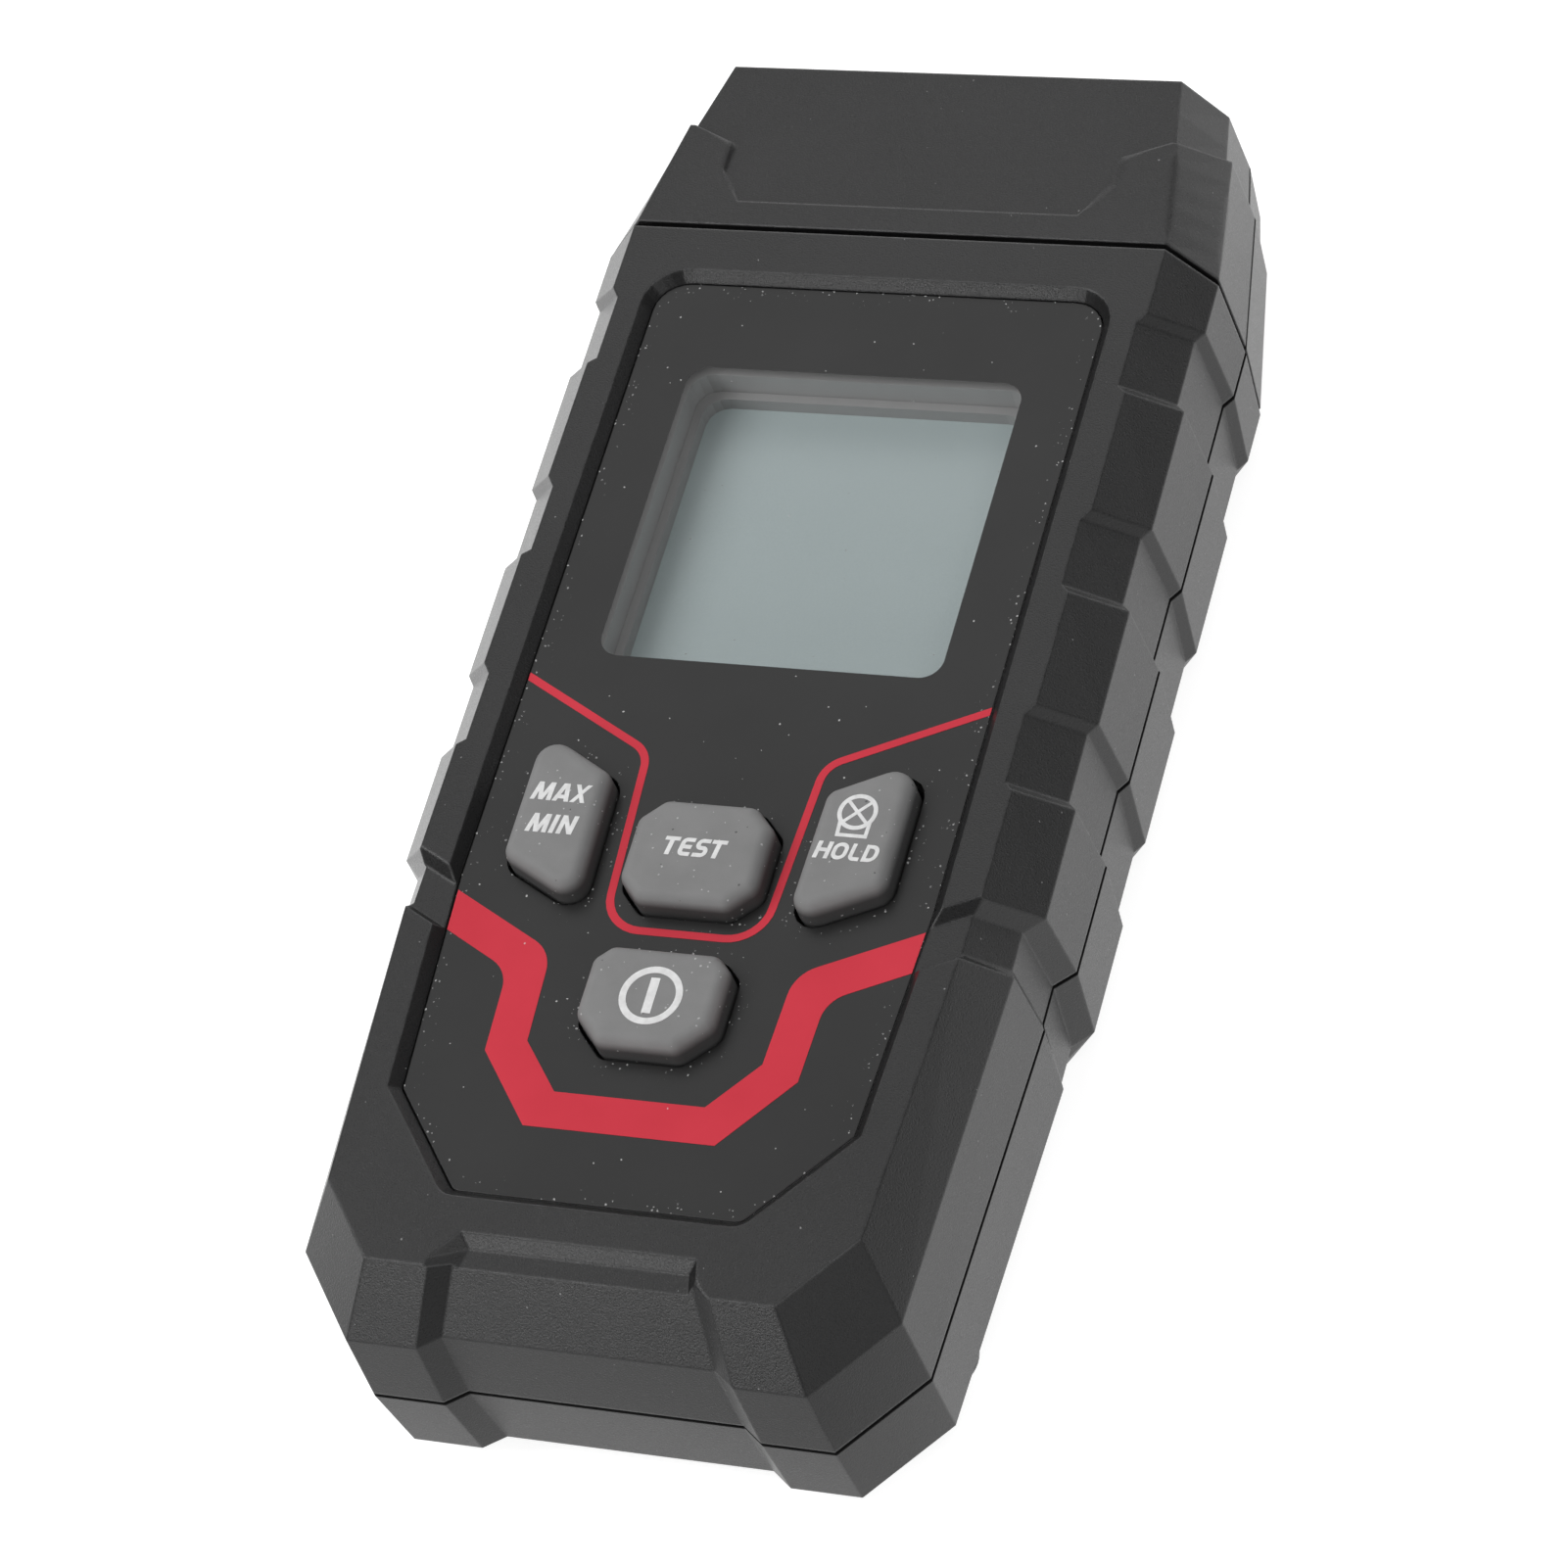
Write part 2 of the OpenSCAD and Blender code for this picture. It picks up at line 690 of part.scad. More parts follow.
module door_room() {
    w = 2 * (door_half_w + door_gap);
    translate([-w / 2, door_low_y - door_gap, -over])
        cube([w, door_up_y - door_low_y + 2 * door_gap, floor_z + over]);
    translate([-bay_half_w, bay_low_y, -over]) cube([2 * bay_half_w, bay_l, roof_z + over]);
    swing = norm([lug_l, lug_rise]);
    reach = norm([lug_root, lug_rise]) + 2 * door_gap;
    pocket_h = door_z + swing + pocket_room;
    pocket_w = lug_w + 2 * door_gap;
    twice() translate([lug_x - door_gap, door_low_y, 0]) {
        translate([0, -lug_l - 2 * door_gap, wall]) cube([pocket_w, lug_l + over, pocket_h - wall]);
        translate([0, -door_gap, 0]) cube([pocket_w, reach + door_gap, pocket_h]);
    }
}

// Slots in the roof of the bay for the contact tabs
module tab_slots() {
    for (tab = tab_at)
        translate([tab.x - tab_w / 2 - slack, tab.y - slack, roof_z - over])
            cube([tab_w + 2 * slack, contact_t + 2 * slack, roof_t + 2 * over]);
}

module rear_case() {
    color("#3a3a3c") difference() {
        union() {
            rear_shell();
            bay_block();
            for (p = case_screw_at) translate(p) rod(boss_d, wall / 2, part_z - wall / 2);
        }
        door_room();
        tab_slots();
        for (p = case_screw_at) translate(p) {
            rod(screw_d + 2 * screw_gap, -over, part_z + 2 * over);
            rod(screw_head_d + 6 * screw_gap, -over, head_room + over);
        }
    }
}

// Head cap
module collar() {
    slant_w = 2.4;
    slant_l = 3.7;
    step = 1.9;
    edge_x = half_w - nose_in - 2;
    pts = [
        [collar_gap_w - slant_w, seam_y + collar_gap_y],
        [collar_gap_w, seam_y + collar_gap_y + slant_l],
        [collar_gap_w, collar_end_y - step],
        [edge_x, collar_end_y + slack],
        [edge_x, nose_y]
    ];
    difference() {
        head_loft(head_ring(seam_y + seam_gap, 0, 0), head_ring(collar_end_y, collar_lean, collar_proud));
        prism(both(pts), optic_z, body_t);
    }
}

module head_shell() {
    slot_in = 0.3;
    difference() {
        union() {
            head_loft(head_ring(seam_y + seam_gap, 0, 0), head_ring(nose_front_y, nose_lean, 0));
            collar();
        }
        loft([head_ring(seam_y - over, 0, -wall), head_ring(end_wall_y, 0, -wall)]);
        twice() translate([half_w - nose_in - slot_in, collar_side_y, part_z - shadow_gap / 2])
            cube([nose_in, nose_y - over - collar_side_y, shadow_gap]);
    }
}

module sleeve() {
    section = nose_pts(seam_y);
    y = seam_y - sleeve_l;
    difference() {
        loft([section_ring(inset(section, wall + slack), y),
            section_ring(inset(nose_pts(seam_y + wall), wall - slack), seam_y + wall)]);
        loft([section_ring(inset(section, 1.8 * wall), y - over),
            section_ring(inset(section, 1.8 * wall), seam_y + wall + over)]);
    }
}

module head_cap() {
    through = nose_y - end_wall_y + 2 * over;
    screw_hole_d = small_screw_d + 2 * screw_gap;
    color("#414143") difference() {
        union() {
            head_shell();
            sleeve();
        }
        translate([lens_x, 0, 0]) rod_y(lens_d - 1.4, end_wall_y - over, through, optic_z);
        translate([-laser_x, 0, 0]) rod_y(laser_hole_d, end_wall_y - over, through, optic_z);
        for (x = post_x)
            translate([x, 0, 0]) rod_y(screw_hole_d, end_wall_y - over, over + 1.8, optic_z);
    }
}

// Front panel and display
bezel_w = window_w + 2 * (lcd_margin + bezel_wall);
bezel_h = window_h + 2 * (lcd_margin + bezel_wall);
module front_panel() {
    color("#1c1c1e") difference() {
        prism(panel_pts(0, 0), seat_z, panel_t);
        key_holes(key_gap);
    }
}

module window_prism(grow, z, h) {
    prism(at(rounded(box_pts(window_w + grow, window_h + grow), window_r), 0, window_y), z, h);
}

module lcd_bezel() {
    ledge_t = 1.4;
    color("#77777a") difference() {
        prism(at(rounded(box_pts(bezel_w - 2 * slack, bezel_h - 2 * slack), window_r), 0, window_y),
            board_top, seat_z - slack - board_top);
        prism(at(box_pts(window_w + 2 * lcd_margin, window_h + 2 * lcd_margin), 0, window_y),
            board_top - over, lcd_top - board_top + over);
        window_prism(-1.2, lcd_top - over, ledge_t + over);
        window_prism(0.4, lcd_top + ledge_t, body_t);
    }
}

lcd_w = window_w + 2 * lcd_margin - 4 * slack;
lcd_h = window_h + 2 * lcd_margin - 4 * slack;
strip_w = 2.4;
module lcd_glass() {
    color("#98a4a4") prism(at(box_pts(lcd_w, lcd_h), 0, window_y), light_top, lcd_t);
}

module backlight_panel() {
    shift = (strip_w + 0.6) / 2;
    color("#e8ece8") prism(at(box_pts(lcd_w, lcd_h - 2 * shift), 0, window_y + shift), board_top, light_t);
}

module contact_strip() {
    color("#d890a0") translate([-lcd_w / 2 + 1, window_y - lcd_h / 2, board_top])
        cube([lcd_w - 2, strip_w, light_t]);
}

// Boards
board_half_w = board_screw_low.x + pillar_d / 2;
board_end_gap = 1.2;
boss_gap = 0.5;
boss_step = 1.5;
board_up_half_w = case_screw_x - boss_d / 2 - boss_gap;
board_low_half_w = bay_half_w + 0.4;
board_boss_y = case_screw_up_y - boss_d / 2 - boss_gap;
board_pts = both([
    [board_low_half_w, bay_low_y - board_end_gap],
    [board_low_half_w, case_screw_low_y + boss_d / 2 + boss_step],
    [board_half_w, board_screw_low.y - pillar_d],
    [board_half_w, board_boss_y - boss_step],
    [board_up_half_w, board_boss_y],
    [board_up_half_w, seam_y - sleeve_l - board_end_gap]
]);
module main_board() {
    color("#1f6b3a") difference() {
        prism(board_pts, board_z, board_t);
        for (p = board_screw_at)
            translate(p) rod(small_screw_d + 2 * screw_gap, board_z - over, board_t + 2 * over);
    }
}

chip_x = -10;
chip_gap = 9;
module controller_chip() {
    color("#202022") translate([chip_x - chip_w / 2, bay_up_y + chip_gap, board_z - chip_t])
        cube([chip_w, chip_w, chip_t]);
}

buzzer_gap = 1;
buzzer_hole_d = 2;
buzzer_hole_l = 1;
buzzer_x = board_screw_up.x - 5;
buzzer_y = board_screw_up.y - (board_head_d + buzzer_d) / 2 - buzzer_gap;
module buzzer() {
    color("#18181a") translate([buzzer_x, buzzer_y, 0]) difference() {
        rod(buzzer_d, board_z - buzzer_h, buzzer_h);
        rod(buzzer_hole_d, board_z - buzzer_h - over, over + buzzer_hole_l);
    }
}

plunger_sink = 1.5;
module switch_bodies() {
    color("#26262a") for (p = switch_at) translate(p) difference() {
        translate([-switch_w / 2, -switch_w / 2, board_top]) cube([switch_w, switch_w, switch_h]);
        rod(plunger_d + 2 * key_gap, switch_top - plunger_sink - key_travel - 0.3, switch_h);
    }
}

module plunger(p) {
    z = switch_top - plunger_sink;
    color("#d8d8d0") translate(p) rod(plunger_d, z, key_base - z);
}

// Keys: a flange below the case wall, a straight shaft and a softly rounded top
module key(pts) {
    soft = [[0, 1.3], [0.2, 0.6], [0.55, 0.17], [1.05, 0]];
    color("#7a7a7c") {
        prism(inset(pts, -key_flange), key_base, flange_t);
        loft(concat(
            [ring(pts, flange_top - slack)],
            [for (s = soft) ring(inset(pts, s[0]), key_top - s[1])]
        ));
    }
}

module test_key() { key(test_pts); }
module power_key() { key(power_pts); }
module hold_key() { key(hold_pts); }
module max_min_key() { key(max_min_pts); }
module test_plunger() { plunger(switch_at[0]); }
module power_plunger() { plunger(switch_at[1]); }
module hold_plunger() { plunger(switch_at[2]); }
module max_min_plunger() { plunger(switch_at[3]); }

// Optics in the head
lens_seat = 4;
optic_plate_h = lens_d - 3;
module optics_holder() {
    color("#2b2b2e") difference() {
        union() {
            translate([post_x[0] - post_d / 2, end_wall_y - plate_t, optic_z - optic_plate_h / 2])
                cube([post_x[1] - post_x[0] + post_d, plate_t, optic_plate_h]);
            translate([lens_x, 0, 0]) rod_y(lens_d + 2 * tube_wall, tube_y, tube_l, optic_z);
            translate([-laser_x, 0, 0]) rod_y(laser_d + 2 * tube_wall, tube_y, tube_l, optic_z);
            for (x = post_x) translate([x, 0, 0]) rod_y(post_d, tube_y, tube_l, optic_z);
        }
        translate([lens_x, 0, 0]) {
            rod_y(lens_d + 2 * slack, end_wall_y - lens_seat, lens_seat + over, optic_z);
            rod_y(lens_d - 2, tube_y - over, tube_l + 2 * over, optic_z);
        }
        translate([-laser_x, 0, 0])
            rod_y(laser_d + 2 * slack, tube_y - over, tube_l + 2 * over, optic_z);
        for (x = post_x) translate([x, 0, 0])
            rod_y(small_screw_d + 2 * screw_gap, tube_y - over, tube_l + 2 * over, optic_z);
    }
}

laser_l = 9;
laser_y = end_wall_y - laser_l;
laser_lens_d = laser_d - 2.6;
laser_lens_y = laser_y + 4;
module laser_barrel() {
    color("#c8a24a") translate([-laser_x, 0, 0]) difference() {
        rod_y(laser_d, laser_y, laser_l, optic_z);
        rod_y(laser_lens_d, laser_lens_y, laser_l, optic_z);
        rod_y(laser_d - 3.4, laser_y - over, laser_l, optic_z);
    }
}

module laser_lens() {
    top = 2.6;
    color("#d8e4ec") translate([-laser_x, laser_lens_y, optic_z]) rotate([-90, 0, 0])
        intersection() {
            cylinder(d = laser_lens_d, h = top + slack);
            translate([0, 0, top - laser_lens_d]) sphere(r = laser_lens_d);
        }
}

module laser_diode() {
    can = laser_d - 3.6;
    color("#b8b8b0") translate([-laser_x, 0, 0]) {
        rod_y(can, laser_y - 0.2, 2.8, optic_z);
        for (x = [-1, 1]) translate([x, 0, 0]) rod_y(0.5, tube_y, laser_y - tube_y, optic_z);
    }
}

module receiver_lens() {
    bulge = 1.6;
    r = (lens_d * lens_d / 4 + bulge * bulge) / (2 * bulge);
    color("#c8d8e4") translate([lens_x, end_wall_y - lens_seat, optic_z]) rotate([-90, 0, 0])
        intersection() {
            cylinder(d = lens_d, h = lens_seat);
            translate([0, 0, lens_seat - r]) sphere(r = r);
        }
}

module photodiode() {
    d = 5;
    stem_l = 2.4;
    dome_l = 2;
    color("#303038") translate([lens_x, 0, 0]) {
        rod_y(d, tube_y, stem_l, optic_z);
        translate([0, tube_y + stem_l, optic_z]) rotate([-90, 0, 0]) intersection() {
            cylinder(d = d, h = dome_l);
            sphere(d = d);
        }
    }
}

sensor_board_h = 15;
module sensor_board() {
    color("#1f6b3a") difference() {
        translate([post_x[0] - post_d / 2, optic_board_y, optic_z - sensor_board_h / 2])
            cube([post_x[1] - post_x[0] + post_d, board_t, sensor_board_h]);
        for (x = post_x) translate([x, 0, 0])
            rod_y(small_screw_d + 2 * screw_gap, optic_board_y - over, board_t + 2 * over, optic_z);
    }
}

// Connector on the main board whose pins reach the sensor board
module sensor_header() {
    block_l = 2.5;
    block_w = 5.2 * pin_pitch;
    pin_w = 0.6;
    pin_up = 1;
    block_y = seam_y - sleeve_l - board_end_gap - block_l;
    color("#c8a850") {
        translate([-block_w / 2, block_y, board_top]) cube([block_w, block_l, block_l]);
        for (i = [-2 : 2])
            translate([i * pin_pitch - pin_w / 2, block_y + block_l - slack, board_top + pin_up])
                cube([pin_w, optic_board_y - block_y - block_l + slack, pin_w]);
    }
}

// Cells and contacts
button_d = 3.8;
button_l = 1;
cell_up_y = bay_low_y + contact_t + spring_l;
cell_down_y = bay_low_y + contact_t;
module cell(x, turned) {
    y = turned ? cell_down_y : cell_up_y;
    color("#5a6068") translate([x, y + (turned ? cell_l : 0), cell_z]) rotate([turned ? 90 : -90, 0, 0]) {
        cylinder(d = cell_d, h = cell_l - button_l);
        cylinder(d = button_d, h = cell_l);
    }
}
module cell_left() { cell(-cell_pitch, false); }
module cell_middle() { cell(0, true); }
module cell_right() { cell(cell_pitch, false); }

// Each contact plate: middle, width, and whether it stands at the upper end of the bay
plate_w = 7;
plate_h = 8;
plates = [
    [-cell_pitch / 2, cell_pitch + plate_w, false], [cell_pitch, plate_w, false],
    [-cell_pitch, plate_w, true], [cell_pitch / 2, cell_pitch + plate_w, true]
];
tab_w = 3;
function plate_y(up) = up ? bay_up_y - contact_t : bay_low_y;
tab_at = [for (p = plates) [p[0], plate_y(p[2])]];
module contact_plates() {
    color("#b9b9b4") for (p = plates) {
        translate([p[0] - p[1] / 2, plate_y(p[2]), cell_z - plate_h / 2]) cube([p[1], contact_t, plate_h]);
        translate([p[0] - tab_w / 2, plate_y(p[2]), cell_z]) cube([tab_w, contact_t, board_z - cell_z]);
    }
}

// A conical coil along +Z, swept as a round wire
wire_d = 0.6;
module coil(d0, d1, l, turns) {
    sides = 8;
    steps = turns * 14;
    rings = [for (k = [0 : steps])
        let (
            t = k / steps,
            w = 360 * turns * t,
            r = mix(d0, d1, t) / 2,
            z = mix(wire_d / 2, l - wire_d / 2, t)
        )
        [for (s = [0 : sides - 1])
            let (v = -360 * s / sides, q = r + wire_d / 2 * cos(v))
            [q * cos(w), q * sin(w), z + wire_d / 2 * sin(v)]]];
    loft(rings);
}

spring_at = [[-cell_pitch, false], [cell_pitch, false], [0, true]];
module contact_springs() {
    color("#c8c8c4") for (s = spring_at)
        translate([s[0], s[1] ? bay_up_y - contact_t : bay_low_y + contact_t, cell_z])
            rotate([s[1] ? 90 : -90, 0, 0]) coil(7, 4.4, spring_l, 3);
}

module battery_door() {
    rib_w = 12;
    rib_gap = 4;
    rib_pitch = 1.6;
    rib_depth = 0.5;
    color("#3a3a3c") difference() {
        union() {
            translate([-door_half_w, door_low_y, door_z])
                cube([2 * door_half_w, door_up_y - door_low_y, door_t]);
            twice() translate([lug_x, door_low_y, door_z + door_t - slack])
                cube([lug_w, lug_root, lug_z + lug_t - door_z - door_t + slack]);
            twice() translate([lug_x, door_low_y - lug_l, lug_z]) cube([lug_w, lug_l + lug_root, lug_t]);
        }
        for (i = [0 : 3])
            translate([-rib_w / 2, door_up_y - rib_gap - i * rib_pitch, door_z - over])
                cube([rib_w, rib_pitch / 2, over + rib_depth]);
    }
}

// Fasteners
module screw(d, head_d, head_h, l) {
    slot_w = 0.7;
    difference() {
        union() {
            cylinder(d = head_d, h = head_h);
            cylinder(d = d, h = head_h + l);
        }
        for (a = [0, 90]) rotate(a) translate([-head_d / 3, -slot_w / 2, -over])
            cube([head_d / 1.5, slot_w, over + head_h / 2]);
    }
}

module case_screws() {
    head_h = 1.8;
    color("#8e8e90") for (p = case_screw_at)
        translate([p.x, p.y, head_room - head_h]) screw(screw_d, screw_head_d, head_h, screw_l);
}

module board_screws() {
    head_h = 1.4;
    color("#a0a0a2") for (p = board_screw_at)
        translate([p.x, p.y, board_z - head_h]) screw(small_screw_d, board_head_d, head_h, board_t + 3.5);
}

module optics_screws() {
    head_h = 1.4;
    color("#a0a0a2") for (x = post_x)
        translate([x, optic_board_y - head_h, optic_z]) rotate([-90, 0, 0])
            screw(small_screw_d, board_head_d, head_h, end_wall_y - optic_board_y + 1.5);
}

front_case();
rear_case();
head_cap();
front_panel();
lcd_bezel();
lcd_glass();
backlight_panel();
contact_strip();
main_board();
controller_chip();
buzzer();
switch_bodies();
max_min_key();
test_key();
hold_key();
power_key();
max_min_plunger();
test_plunger();
hold_plunger();
power_plunger();
optics_holder();
laser_barrel();
laser_diode();
laser_lens();
receiver_lens();
photodiode();
sensor_board();
sensor_header();
cell_left();
cell_middle();
cell_right();
contact_springs();
contact_plates();
battery_door();
case_screws();
board_screws();
optics_screws();
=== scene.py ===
# %% [markdown]
# A hand-held laser tachometer lies on its back: a charcoal moulded case with leaning grip notches,
# a black front panel with red stripes, a grey display behind a clear window and four rubber keys.
# The CAD model comes first, as a fixed frame in metres. Everything below dresses it.

import bpy
import numpy as np
from mathutils import Matrix, Vector


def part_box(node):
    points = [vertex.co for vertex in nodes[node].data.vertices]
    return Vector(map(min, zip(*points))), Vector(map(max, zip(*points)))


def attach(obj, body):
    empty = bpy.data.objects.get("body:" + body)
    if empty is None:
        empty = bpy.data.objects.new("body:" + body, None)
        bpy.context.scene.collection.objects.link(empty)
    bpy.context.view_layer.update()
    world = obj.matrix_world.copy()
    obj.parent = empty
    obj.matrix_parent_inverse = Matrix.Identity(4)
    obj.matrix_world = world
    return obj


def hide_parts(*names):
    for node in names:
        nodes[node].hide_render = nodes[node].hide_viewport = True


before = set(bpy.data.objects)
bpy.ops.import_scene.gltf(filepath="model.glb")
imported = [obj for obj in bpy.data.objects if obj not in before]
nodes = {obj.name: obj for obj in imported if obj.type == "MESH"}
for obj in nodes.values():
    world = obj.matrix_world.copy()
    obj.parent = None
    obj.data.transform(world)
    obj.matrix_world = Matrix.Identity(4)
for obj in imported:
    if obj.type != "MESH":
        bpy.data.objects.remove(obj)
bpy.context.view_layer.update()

# %% [markdown]
# The camera stands where the photographer stood. Its place and its three axes were fitted to straight
# edges of the case, so they are written as they came out: right and down in the picture, and forward.
# Blender's camera looks along its own -Z with +Y up, so two of the three axes change sign.

# %% Camera
MM = 0.001
CAMERA_AT = np.array((170.78, -237.36, 393.95)) * MM
PICTURE_RIGHT = (0.93017552, 0.25716614, -0.26199062)
PICTURE_DOWN = (0.07695765, -0.83438288, -0.54578634)
PICTURE_FORWARD = (-0.35895825, 0.4875149, -0.79591343)
SENSOR_WIDTH, LENS = 36, 128.06

turn = np.eye(4)
turn[:3, 0] = PICTURE_RIGHT
turn[:3, 1] = -np.array(PICTURE_DOWN)
turn[:3, 2] = -np.array(PICTURE_FORWARD)
turn[:3, 3] = CAMERA_AT
camera_data = bpy.data.cameras.new("camera")
camera_data.sensor_width = SENSOR_WIDTH
camera_data.lens = LENS
camera = bpy.data.objects.new("camera", camera_data)
camera.matrix_world = Matrix(turn.tolist())
bpy.context.scene.collection.objects.link(camera)
bpy.context.scene.camera = camera
bpy.context.scene.view_settings.view_transform = "Standard"
print("camera", np.round(np.linalg.norm(CAMERA_AT), 3), "m from the origin")

# %% [markdown]
# Shader graphs are long to write by hand. One helper adds a node, sets its options and fills its
# inputs: a number or colour is set on the socket, and another node's output is linked to it.
# A second one mixes two colours by a mask, and a third squeezes a value into a new range. The values of
# a noise mostly lie in one narrow range, so many of the ranges below start from that one.

# %% Shader helpers
NOISE_SPAN = (0.3, 0.7)


def add(tree, kind, inputs=None, **options):
    """A new shader node with its options set and its inputs filled or linked."""
    made = tree.nodes.new("ShaderNode" + kind)
    for option, value in options.items():
        setattr(made, option, value)
    for socket, value in (inputs or {}).items():
        fill(tree, made.inputs[socket], value)
    return made


def fill(tree, socket, value):
    """Links an output to the socket, or sets the socket's own value."""
    if isinstance(value, bpy.types.NodeSocket):
        tree.links.new(value, socket)
    else:
        socket.default_value = value


def mix_colour(tree, mask, first, second):
    """first where the mask is 0, second where it is 1."""
    made = add(tree, "Mix", data_type="RGBA")
    for socket, value in zip((0, 6, 7), (mask, first, second)):
        fill(tree, made.inputs[socket], value)
    return made.outputs[2]


def span(tree, value, low, high, to_low=0.0, to_high=1.0):
    """value moved from the range low to high into the range to_low to to_high, and kept inside it."""
    limits = {"From Min": low, "From Max": high, "To Min": to_low, "To Max": to_high}
    return add(tree, "MapRange", {"Value": value, **limits}).outputs["Result"]


def within(tree, value, low, low_full, high_full, high):
    """1 from low_full to high_full, falling to 0 at low and at high."""
    return maths(tree, "MULTIPLY", span(tree, value, low, low_full), span(tree, value, high, high_full))


def maths(tree, operation, *values):
    """The result of one arithmetic node."""
    return add(tree, "Math", dict(enumerate(values)), operation=operation).outputs[0]


def object_axes(tree):
    """The X, Y and Z of a point in its object's own frame."""
    return add(tree, "SeparateXYZ", {0: add(tree, "TexCoord").outputs["Object"]}).outputs


def noise(tree, place, size, **settings):
    """Noise with features of that size in metres."""
    scale = maths(tree, "DIVIDE", 1.0, size)
    return add(tree, "TexNoise", {"Vector": place, "Scale": scale, **settings}).outputs["Fac"]


def grey(level, tint=1.0):
    """A neutral colour, with blue a little stronger where tint is over 1."""
    return (level, level, level * tint, 1.0)


def new_group(name, inputs, outputs):
    """An empty shader group with float or vector sockets: {name: default or None for a vector}."""
    tree = bpy.data.node_groups.new(name, "ShaderNodeTree")
    for side, sockets in (("INPUT", inputs), ("OUTPUT", outputs)):
        for socket, default in sockets.items():
            kind = "NodeSocketVector" if default is None else "NodeSocketFloat"
            made = tree.interface.new_socket(socket, in_out=side, socket_type=kind)
            if default is not None:
                made.default_value = default
    return tree, tree.nodes.new("NodeGroupInput").outputs, tree.nodes.new("NodeGroupOutput").inputs


def use_group(tree, group, **values):
    """The outputs of a group placed in a material, with its own values. An underscore is a space."""
    made = tree.nodes.new("ShaderNodeGroup")
    made.node_tree = group
    for socket, value in values.items():
        fill(tree, made.inputs[socket.replace("_", " ")], value)
    return made.outputs


# %% [markdown]
# Moulded plastic is never smooth: the steel mould is spark-eroded, which leaves a fine, even grain.
# Two noises give it: a fine one for the bump, and a broad one for the faint clouds of shade that
# handling leaves. A grain size in metres keeps the detail at its real scale.

# %% Grain group
grain_group, given, out = new_group("moulded_grain", {"Size": 0.0002, "Cloud Size": 0.01},
                                    {"Height": 0.0, "Cloud": 0.0})
tree = grain_group
place = add(tree, "TexCoord").outputs["Object"]
fine = noise(tree, place, given["Size"], Detail=2.0, Roughness=0.65)
broad = noise(tree, place, given["Cloud Size"], Detail=4.0)
tree.links.new(fine, out["Height"])
tree.links.new(span(tree, broad, *NOISE_SPAN), out["Cloud"])
print("group", grain_group.name)

# %% [markdown]
# No moulded edge is a knife edge. Rounding hundreds of edges in the mesh would cost many faces, so
# the Bevel node bends the normals within a small radius instead: light then catches every edge.
# Where the bent normal leaves the flat one, there is an edge, and the same test gives a mask of edges,
# which marks wear, and on the case also a painted highlight.

# %% Edge group
EDGE_FROM, EDGE_FULL = 0.98, 0.8
PATCH_SCALE = 700.0
PATCHES = (0.35, 0.6)
LEAST_WEAR_AND_HIGHLIGHT = 0.35

edge_group, given, out = new_group("soft_edges", {"Radius": 0.0003}, {"Normal": None, "Edge Mask": 0.0})
tree = edge_group
bent = add(tree, "Bevel", {"Radius": given["Radius"]}, samples=6).outputs["Normal"]
flat = add(tree, "NewGeometry").outputs["Normal"]
agree = add(tree, "VectorMath", {0: bent, 1: flat}, operation="DOT_PRODUCT").outputs["Value"]
place = add(tree, "TexCoord").outputs["Object"]
patches = add(tree, "TexNoise", {"Vector": place, "Scale": PATCH_SCALE, "Detail": 3.0}).outputs["Fac"]
edge_wear_and_highlight = span(tree, agree, EDGE_FROM, EDGE_FULL)
edge_wear_and_highlight = maths(tree, "MULTIPLY", edge_wear_and_highlight, span(tree, patches, *PATCHES, LEAST_WEAR_AND_HIGHLIGHT))
tree.links.new(bent, out["Normal"])
tree.links.new(edge_wear_and_highlight, out["Edge Mask"])
print("group", edge_group.name)

# %% [markdown]
# A matte instrument gathers dust: a few pale specks, most of them under a fifth of a millimetre.
# A Voronoi pattern gives one point in each small cell. A speck is what lies close to that point, and
# each cell's random colour decides whether it has a speck, and how big it is.

# %% Dust group
WOBBLE_SCALE = 2600.0
WOBBLE_REACH = 0.22 * MM
LEAST_SPECK = 0.03

dust_group, given, out = new_group("settled_dust", {"Share": 0.05, "Cell": 0.0012, "Speck": 0.11},
                                   {"Mask": 0.0})
tree = dust_group
place = add(tree, "TexCoord").outputs["Object"]
wobble = add(tree, "TexNoise", {"Vector": place, "Scale": WOBBLE_SCALE}).outputs["Color"]
bend = add(tree, "VectorMath", {0: wobble, "Scale": WOBBLE_REACH}, operation="SCALE").outputs["Vector"]
shaken = add(tree, "VectorMath", {0: place, 1: bend}, operation="ADD").outputs["Vector"]
cells = add(tree, "TexVoronoi", {"Vector": shaken, "Scale": maths(tree, "DIVIDE", 1.0, given["Cell"])})
chance = add(tree, "SeparateColor", {"Color": cells.outputs["Color"]}).outputs
here = maths(tree, "LESS_THAN", chance["Red"], given["Share"])
reach = span(tree, chance["Green"], 0.0, 1.0, LEAST_SPECK, given["Speck"])
close = maths(tree, "LESS_THAN", cells.outputs["Distance"], reach)
tree.links.new(maths(tree, "MULTIPLY", here, close), out["Mask"])
print("group", dust_group.name)

# %% [markdown]
# Turned and plated metal shows fine marks along the way it was worked. The noise is stretched along
# one axis, so that it draws streaks, and it moves the roughness and a shallow bump.

